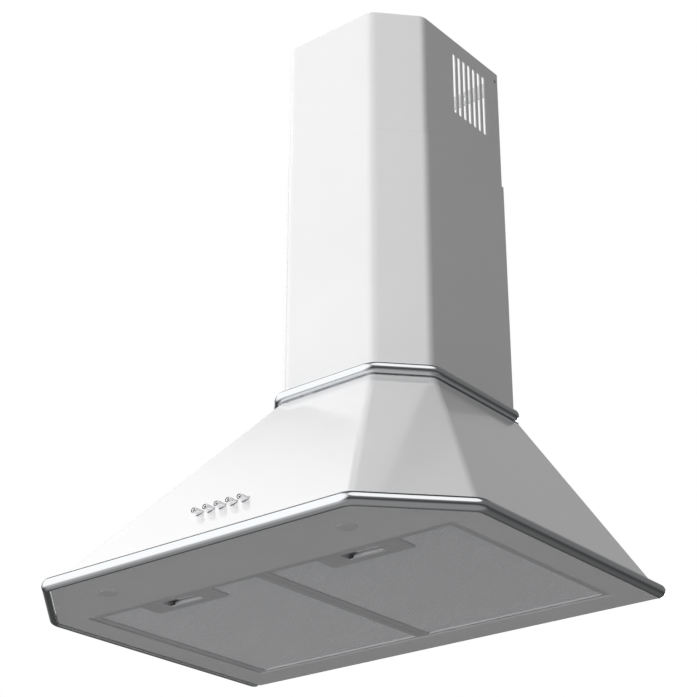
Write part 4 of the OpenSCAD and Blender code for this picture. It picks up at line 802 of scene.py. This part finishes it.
# The upper rail is a half-round bar like the lower one, bent round the foot of the chimney to
# hide the joint between the chimney and the canopy.
UPPER_RAIL_RADIUS, UPPER_RAIL_OUT, UPPER_RAIL_HEIGHT = 7.0, 5.0, 268.3
upper_rail = rail("chrome_upper_rail", COVER_WIDTH, COVER_DEPTH, COVER_CHAMFER, COVER_BEND,
                  UPPER_RAIL_RADIUS, UPPER_RAIL_OUT, UPPER_RAIL_HEIGHT)
fit(upper_rail, "hood", "chrome", chrome, "upper_rail")
# A painted shade line along the top of the upper rail.
paint_shade_line(upper_rail)
dress(plated, "upper_rail_screws")


# The upper chimney cover slides inside the lower one to reach the ceiling. Seven vent slots on
# each side let the air out, and a small screw beside them holds it to its wall bracket.
UPPER_INSET, UPPER_LOW, UPPER_HIGH = 1.5, 444.0, 784.0
VENT_COUNT, VENT_PITCH, VENT_MIDDLE, VENT_WIDTH = 7, 11.2, -72.0, 5.4
VENT_LOW, VENT_HIGH = 669.0, 762.0
SIDE_HOLE_PLACE, SIDE_HOLE_RADIUS = (-9.0, 770.0), 2.6

bm = bmesh.new()
folded_cover(bm, UPPER_INSET, UPPER_INSET, UPPER_LOW, UPPER_HIGH)
upper_cover = to_object("upper_cover_sheet", bm)
holes = bmesh.new()
for i in range(VENT_COUNT):
    middle = VENT_MIDDLE + (i - (VENT_COUNT - 1) / 2) * VENT_PITCH
    radius = VENT_WIDTH / 2
    loop = [(middle + radius * cos(a), VENT_HIGH - radius + radius * sin(a))
            for a in [radians(15 * k) for k in range(13)]]
    loop += [(middle + radius * cos(a), VENT_LOW + radius + radius * sin(a))
             for a in [radians(180 + 15 * k) for k in range(13)]]
    ends = grid(holes, [[(x, y, z) for y, z in loop] for x in (-COVER_WIDTH, COVER_WIDTH)], closed=True)
    holes.faces.new(ends[0])
    holes.faces.new(ends[1])
turn(holes, [(-COVER_WIDTH, SIDE_HOLE_RADIUS), (COVER_WIDTH, SIDE_HOLE_RADIUS)],
     (0.0,) + SIDE_HOLE_PLACE, (1, 0, 0), sides=24)
cut_away(upper_cover, holes)
fit(upper_cover, "upper_chimney", "white_enamel", white_enamel, "upper_chimney_cover")

# Fresh electro-zinc on the wall bracket: a pale, even satin with no crystals, only a faint
# cloudiness from the bath about 8 mm across. It shows a little through the vents.
pale_zinc, tree, shader, spot = start_material("pale_electro_zinc", "#ECEDEE", 0.2, 0.5)
bath = add(tree, "ShaderNodeTexNoise", {"Vector": spot, "Scale": 1 / 8.0, "Detail": 2.0})
bath_tone = add(tree, "ShaderNodeMix", {0: bath.outputs["Fac"], 6: linear("#E6E7E8"),
                7: linear("#F2F3F4")}, data_type="RGBA")
tree.links.new(bath_tone.outputs[2], shader.inputs["Base Color"])
dress(pale_zinc, "upper_chimney_bracket")
dress(plated, "upper_chimney_screws")


# Each grease filter is a folded aluminium frame round several layers of expanded mesh. It
# hangs by two tabs on the opening's rear hem and is held by a sprung latch at the front.
FILTER_INNER, FILTER_OUTER = 0.3, 260.0
FILTER_FRONT, FILTER_REAR, FILTER_LOW, FILTER_HIGH = -344.0, -43.5, 2.0, 11.0
FRAME_WALL, FRAME_LIP, FRAME_BORDER = 1.2, 0.8, 9.5
REAR_FOLD, REAR_SLANT, REAR_LIP_TOP = 1.2, 2.2, 3.8
FRAME_BEND, BEND_FLAT, LIP_EASE = 0.45, 0.3, 0.25
CORNER_INSIDE, CORNER_FLAT, CORNER_OUTSIDE = 1.0, 1.2, 1.5
# Pocket, latch and hanging tabs are centred on the solid filter, which starts 0.5 mm from the centre
FILTER_MIDDLE = 130.25
HANG_TAB_WIDTH, HANG_TAB_GAP, HANG_TAB_END, HANG_TAB_SEAM = 20.0, 150.0, -36.5, 0.01
TONGUE_HALF, TONGUE_LOW, TONGUE_HIGH = 15.0, 8.2, 9.3
# Play of the tongue in its slots, and how far each cut runs past the frame's and the cup's wall
SLOT_PLAY = 0.3
FRAME_CUT_OUT, FRAME_CUT_IN, CUP_CUT = 2.0, 3.0, 1.0

# Mill-finished aluminium strip, rolled: soft grey, with rolling lines along the sheet. Real
# ones are finer than the render can show, so they are drawn about 1.2 mm apart, and 50 times
# as long as they are wide.
ROLLING_STRETCH = (1 / 50, 1.0, 1.0)
rolled_aluminium, tree, shader, spot = start_material("rolled_aluminium", "#E3E3E5", 0.6, 0.5)
along = add(tree, "ShaderNodeVectorMath", {0: spot, 1: ROLLING_STRETCH}, operation="MULTIPLY")
rolling = add(tree, "ShaderNodeTexNoise", {"Vector": along.outputs[0], "Scale": 1 / 1.2, "Detail": 3.0})
rolling_gloss = add(tree, "ShaderNodeMapRange", {"Value": rolling.outputs["Fac"], "To Min": 0.42,
                    "To Max": 0.60})
tree.links.new(rolling_gloss.outputs[0], shader.inputs["Roughness"])
rolling_tone = add(tree, "ShaderNodeMix", {0: rolling.outputs["Fac"], 6: linear("#DEDEE0"),
                   7: linear("#E8E8EA")}, data_type="RGBA")
tree.links.new(rolling_tone.outputs[2], shader.inputs["Base Color"])
rolling_bump = add(tree, "ShaderNodeBump", {"Height": rolling.outputs["Fac"], "Strength": 0.08,
                   "Distance": 0.0001})
tree.links.new(rolling_bump.outputs["Normal"], shader.inputs["Normal"])

# Expanded aluminium: slit and pulled open, so each strand is a bright sheared face with a
# rougher torn edge. The tone wanders a little over 3 mm, so from strand to strand.
expanded, tree, shader, spot = start_material("expanded_aluminium", "#F0F0F2", 0.5, 0.38)
strand = add(tree, "ShaderNodeTexNoise", {"Vector": spot, "Scale": 1 / 3.0, "Detail": 3.0})
strand_tone = add(tree, "ShaderNodeMix", {0: strand.outputs["Fac"], 6: linear("#E6E6E8"),
                  7: linear("#FAFAFC")}, data_type="RGBA")
tree.links.new(strand_tone.outputs[2], shader.inputs["Base Color"])
strand_gloss = add(tree, "ShaderNodeMapRange", {"Value": strand.outputs["Fac"], "To Min": 0.3,
                   "To Max": 0.5})
tree.links.new(strand_gloss.outputs[0], shader.inputs["Roughness"])

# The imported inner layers, seen through the outer mesh as a crumpled mass of strands that lie
# about 2.6 mm apart.
packed, tree, shader, spot = start_material("packed_mesh_layers", "#B4B4B6", 0.5, 0.6)
layers = add(tree, "ShaderNodeTexVoronoi", {"Vector": spot, "Scale": 1 / 2.6}, feature="DISTANCE_TO_EDGE")
layer_tone = add(tree, "ShaderNodeValToRGB", {"Fac": layers.outputs["Distance"]})
layer_tone.color_ramp.elements[0].color = linear("#DCDCDE")
layer_tone.color_ramp.elements[1].color = linear("#B4B4B6")
layer_tone.color_ramp.elements[1].position = 0.35
tree.links.new(layer_tone.outputs["Color"], shader.inputs["Base Color"])
layer_bump = add(tree, "ShaderNodeBump", {"Height": layers.outputs["Distance"], "Strength": 0.6,
                 "Distance": 0.0006})
tree.links.new(layer_bump.outputs["Normal"], shader.inputs["Normal"])


def frame_ring(side_in, rear_in, height, corner, rear_height=None):
    ring = rectangle(FILTER_INNER + side_in, FILTER_OUTER - side_in, FILTER_FRONT + side_in,
                     FILTER_REAR - rear_in, height, corner)
    return [(x, y, rear_height if rear_height and y > FILTER_REAR - rear_in - corner / 2 else z)
            for x, y, z in ring]


def mirrored(bm, side):
    if side < 0:
        bmesh.ops.scale(bm, vec=(-1, 1, 1), verts=bm.verts)
    return bm


def filter_frame():
    bm = bmesh.new()
    rounding = [(FRAME_BEND * (1 - cos(a)), FRAME_BEND * (1 - sin(a)))
                for a in [radians(90 - 18 * i) for i in range(6)]]
    rows = [(FRAME_BORDER, REAR_SLANT, FILTER_LOW + FRAME_LIP, CORNER_INSIDE, REAR_LIP_TOP + FRAME_LIP),
            (FRAME_BORDER, REAR_SLANT, FILTER_LOW + LIP_EASE, CORNER_INSIDE, REAR_LIP_TOP),
            (FRAME_BORDER - LIP_EASE, REAR_FOLD, FILTER_LOW, CORNER_FLAT),
            (FRAME_BEND + BEND_FLAT, FRAME_BEND + BEND_FLAT, FILTER_LOW, CORNER_FLAT)]
    rows += [(away, away, FILTER_LOW + rise, CORNER_OUTSIDE) for away, rise in rounding]
    rows += [(away, away, FILTER_HIGH - rise, CORNER_OUTSIDE) for away, rise in reversed(rounding)]
    rows += [(FRAME_BORDER, REAR_SLANT, FILTER_HIGH, CORNER_INSIDE),
             (FRAME_BORDER, REAR_SLANT, FILTER_HIGH - FRAME_LIP, CORNER_INSIDE),
             (FRAME_WALL, FRAME_WALL, FILTER_HIGH - FRAME_LIP, CORNER_INSIDE),
             (FRAME_WALL, FRAME_WALL, FILTER_LOW + FRAME_LIP, CORNER_INSIDE)]
    grid(bm, [frame_ring(*row) for row in rows], wrap=True, closed=True)
    return bm


# The outer mesh's strands zigzag across the filter, and each touches the next at every second
# bend, so that they close diamonds of 5 by 3.5 mm. All lean the same way, as slitting leaves them.
# The coarse mesh on the clean side is twice as wide. Both are given by the long and short way
# of a diamond, the width and thickness of a strand, and the height of the layer.
FINE_MESH = (5.0, 3.5, 1.0, 0.45, 3.4)
COARSE_MESH = (10.0, 7.0, 1.6, 0.6, 9.2)
STRAND_LEAN = radians(-42)
# What the meshes leave at the frame's sides, at its front and round the cup
MESH_GAP, MESH_FRONT_GAP, CUP_GAP = 0.3, 1.0, 0.6
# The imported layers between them: what they leave at the walls, and the heights they lie between
PACKED_GAP, PACKED_LOW, PACKED_HIGH = 0.5, 4.9, 7.6
CUP_HALF, CUP_FRONT, CUP_REAR, CUP_CORNER = 26.6, -334.5, -303.5, 2.0


def zigzag_mesh(bm, long, short, width, thickness, height, clear_front):
    left, right = FILTER_INNER + FRAME_WALL + MESH_GAP, FILTER_OUTER - FRAME_WALL - MESH_GAP
    front, rear = FILTER_FRONT + FRAME_WALL + MESH_FRONT_GAP, FILTER_REAR - REAR_SLANT + MESH_GAP
    flat = (width / 2 * cos(STRAND_LEAN), width / 2 * sin(STRAND_LEAN))
    thick = (-thickness / 2 * sin(STRAND_LEAN), thickness / 2 * cos(STRAND_LEAN))
    section = [(a * flat[0] + b * thick[0], a * flat[1] + b * thick[1])
               for a, b in ((-1, -1), (1, -1), (1, 1), (-1, 1))]
    columns = int((right - left) / (long / 2))
    rows = int((rear - front) / short)
    for row in range(rows):
        for half in (0, 1):
            base = front + (row + half) * short
            swing = -short / 2 if half else short / 2
            run = []
            for column in range(columns + 2):
                x = left + column * long / 2
                y = base + (swing if column % 2 else 0.0)
                inside = (column <= columns and x <= right and y <= rear
                          and not (abs(x - FILTER_MIDDLE) < CUP_HALF + CUP_GAP
                                   and clear_front - CUP_GAP < y < CUP_REAR + CUP_GAP))
                if inside:
                    run.append((x, y))
                    continue
                if len(run) > 1:
                    made = grid(bm, [[(px, py + dy, height + dz) for dy, dz in section]
                                     for px, py in run], closed=True)
                    bm.faces.new(made[0])
                    bm.faces.new(made[-1])
                run = []


# The handle plate is pressed from the same strip, with a finger recess whose rim rolls in. Its
# corners on the mesh are rounded, its straight front edge meets the frame's border, and its cup
# passes through the mesh.
PLATE_HALF, PLATE_CORNER, PLATE_EASE, PLATE_SEAM = 55.0, 4.0, 0.2, 0.02
RECESS_HALF, RECESS_FRONT, RECESS_REAR, RECESS_CORNER = 25.0, -331.0, -315.0, 2.0
CUP_WALL, CUP_EASE, RIM_FLAT = 0.8, 0.5, 0.3


def plate_loop(inset, height):
    front, rear = CUP_FRONT + min(inset, PLATE_SEAM), CUP_REAR - inset
    corners = [(PLATE_HALF - inset, front), (PLATE_HALF - inset, rear), (-PLATE_HALF + inset, rear),
               (-PLATE_HALF + inset, front)]
    points = rounded(corners, [PLATE_CORNER - inset] * 2, 12)
    return [(FILTER_MIDDLE + p.x, p.y, height) for p in points]


def recess_loop(out, height):
    return rectangle(FILTER_MIDDLE - RECESS_HALF - out, FILTER_MIDDLE + RECESS_HALF + out,
                     RECESS_FRONT - out, RECESS_REAR + out, height, RECESS_CORNER + out, 8)


def cup_loop(inset, height):
    return rectangle(FILTER_MIDDLE - CUP_HALF + inset, FILTER_MIDDLE + CUP_HALF - inset,
                     CUP_FRONT + inset, CUP_REAR - inset, height, CUP_CORNER, 8)


def handle_plate():
    bm = bmesh.new()
    plate_top = FILTER_LOW + FRAME_LIP
    cup_top = FILTER_HIGH - FRAME_LIP
    rim = [recess_loop(CUP_WALL * (1 - sin(a)), FILTER_LOW + CUP_WALL * (1 - cos(a)))
           for a in [radians(15 * i) for i in range(7)]]
    face = plate_loop(PLATE_EASE, FILTER_LOW)
    rim_start = recess_loop(CUP_WALL + RIM_FLAT, FILTER_LOW)
    ceiling = cup_loop(CUP_WALL + CUP_EASE, cup_top - CUP_WALL)
    fill(bm, face, rim_start)
    grid(bm, [rim_start] + rim + [cup_loop(CUP_WALL, plate_top),
              cup_loop(CUP_WALL, cup_top - CUP_WALL - CUP_EASE), ceiling], closed=True)
    fill(bm, ceiling)
    grid(bm, [face, plate_loop(0.0, FILTER_LOW + PLATE_EASE), plate_loop(0.0, plate_top)], closed=True)
    fill(bm, plate_loop(0.0, plate_top), cup_loop(0.0, plate_top))
    grid(bm, [cup_loop(0.0, plate_top), cup_loop(0.0, cup_top - CUP_EASE), cup_loop(CUP_EASE, cup_top)],
         closed=True)
    fill(bm, cup_loop(CUP_EASE, cup_top))
    return bm


# The latch: a plated finger bar with domed ends on a steel web, whose tongue slides through
# the frame's front wall and over the opening's flange.
BAR_PLACE, BAR_RADIUS, BAR_HALF = (-311.6, 5.5), 2.6, 22.0
TONGUE_TIP, WEB_HALF, WEB_UNDER = -344.8, 0.6, 0.1

# Satin nickel on a brushed bar: a pale metal with a wide, soft highlight. The brushing runs
# along the bar and is finer than the render can show, so it is drawn 0.8 mm apart, and 20
# times as long as it is wide.
BRUSHING_STRETCH = (1 / 20, 1.0, 1.0)
satin_nickel, tree, shader, spot = start_material("satin_nickel", "#FAFAFB", 0.3, 0.3)
along = add(tree, "ShaderNodeVectorMath", {0: spot, 1: BRUSHING_STRETCH}, operation="MULTIPLY")
brushing = add(tree, "ShaderNodeTexNoise", {"Vector": along.outputs[0], "Scale": 1 / 0.8, "Detail": 2.0})
brushing_gloss = add(tree, "ShaderNodeMapRange", {"Value": brushing.outputs["Fac"], "To Min": 0.22,
                     "To Max": 0.38})
tree.links.new(brushing_gloss.outputs[0], shader.inputs["Roughness"])


def latch():
    bm = bmesh.new()
    dome = [(BAR_RADIUS * (1 - cos(a)), max(BAR_RADIUS * sin(a), AXIS))
            for a in [radians(15 * i) for i in range(7)]]
    profile = dome + [(2 * BAR_HALF - along, radius) for along, radius in reversed(dome)]
    turn(bm, profile, (FILTER_MIDDLE - BAR_HALF, BAR_PLACE[0], BAR_PLACE[1]), (1, 0, 0), sides=32)
    left, right, rear = FILTER_MIDDLE - TONGUE_HALF, FILTER_MIDDLE + TONGUE_HALF, BAR_PLACE[0] + WEB_HALF
    box(bm, (left, BAR_PLACE[0] - WEB_HALF, BAR_PLACE[1]), (right, rear, TONGUE_HIGH - WEB_UNDER))
    box(bm, (left, TONGUE_TIP, TONGUE_LOW), (right, rear, TONGUE_HIGH))
    return bm


def cut_tongue_slot(piece, side, front, rear):
    bm = bmesh.new()
    box(bm, (FILTER_MIDDLE - TONGUE_HALF - SLOT_PLAY, front, TONGUE_LOW - SLOT_PLAY),
        (FILTER_MIDDLE + TONGUE_HALF + SLOT_PLAY, rear, TONGUE_HIGH + SLOT_PLAY))
    cut_away(piece, mirrored(bm, side))


for side, name in ((-1, "left"), (1, "right")):
    body = "filter_" + name
    frame_piece = to_object("filter_rim_" + name, mirrored(filter_frame(), side))
    cut_tongue_slot(frame_piece, side, FILTER_FRONT - FRAME_CUT_OUT, FILTER_FRONT + FRAME_CUT_IN)
    fit(frame_piece, body, "filter_aluminium", rolled_aluminium, "filter_frame_" + name)
    bm = bmesh.new()
    for shift in (-HANG_TAB_GAP / 2, HANG_TAB_GAP / 2):
        box(bm, (FILTER_MIDDLE + shift - HANG_TAB_WIDTH / 2, FILTER_REAR + HANG_TAB_SEAM, HEM_TOP),
            (FILTER_MIDDLE + shift + HANG_TAB_WIDTH / 2, HANG_TAB_END, HEM_TOP + FRAME_WALL))
    fit(to_object("filter_tabs_" + name, mirrored(bm, side)), body, "filter_aluminium", rolled_aluminium,
        edge=0.25)
    bm = bmesh.new()
    zigzag_mesh(bm, *FINE_MESH, CUP_FRONT)
    zigzag_mesh(bm, *COARSE_MESH, FILTER_FRONT)
    fit(to_object("expanded_mesh_" + name, mirrored(bm, side), merge=0.0001), body, "filter_mesh", expanded,
        "filter_mesh_" + name, sharp=20.0)
    bm = bmesh.new()
    inside = (FILTER_INNER + FRAME_WALL + PACKED_GAP, FILTER_OUTER - FRAME_WALL - PACKED_GAP,
              FILTER_FRONT + FRAME_WALL + PACKED_GAP, FILTER_REAR - FRAME_WALL - PACKED_GAP)
    low, high = rectangle(*inside, PACKED_LOW), rectangle(*inside, PACKED_HIGH)
    cup_low, cup_high = cup_loop(-CUP_GAP, PACKED_LOW), cup_loop(-CUP_GAP, PACKED_HIGH)
    fill(bm, low, cup_low)
    fill(bm, high, cup_high)
    grid(bm, [low, high], closed=True)
    grid(bm, [cup_low, cup_high], closed=True)
    fit(to_object("packed_mesh_" + name, mirrored(bm, side)), body, "filter_mesh", packed)
    plate = to_object("handle_plate_" + name, mirrored(handle_plate(), side))
    cut_tongue_slot(plate, side, CUP_FRONT - CUP_CUT, CUP_FRONT + CUP_WALL + CUP_CUT)
    fit(plate, body, "filter_aluminium", rolled_aluminium, "filter_handle_" + name)
    fit(to_object("latch_bar_" + name, mirrored(latch(), side), merge=0.0005), "latch_" + name, "chrome",
        satin_nickel, "filter_latch_" + name, sharp=40.0)
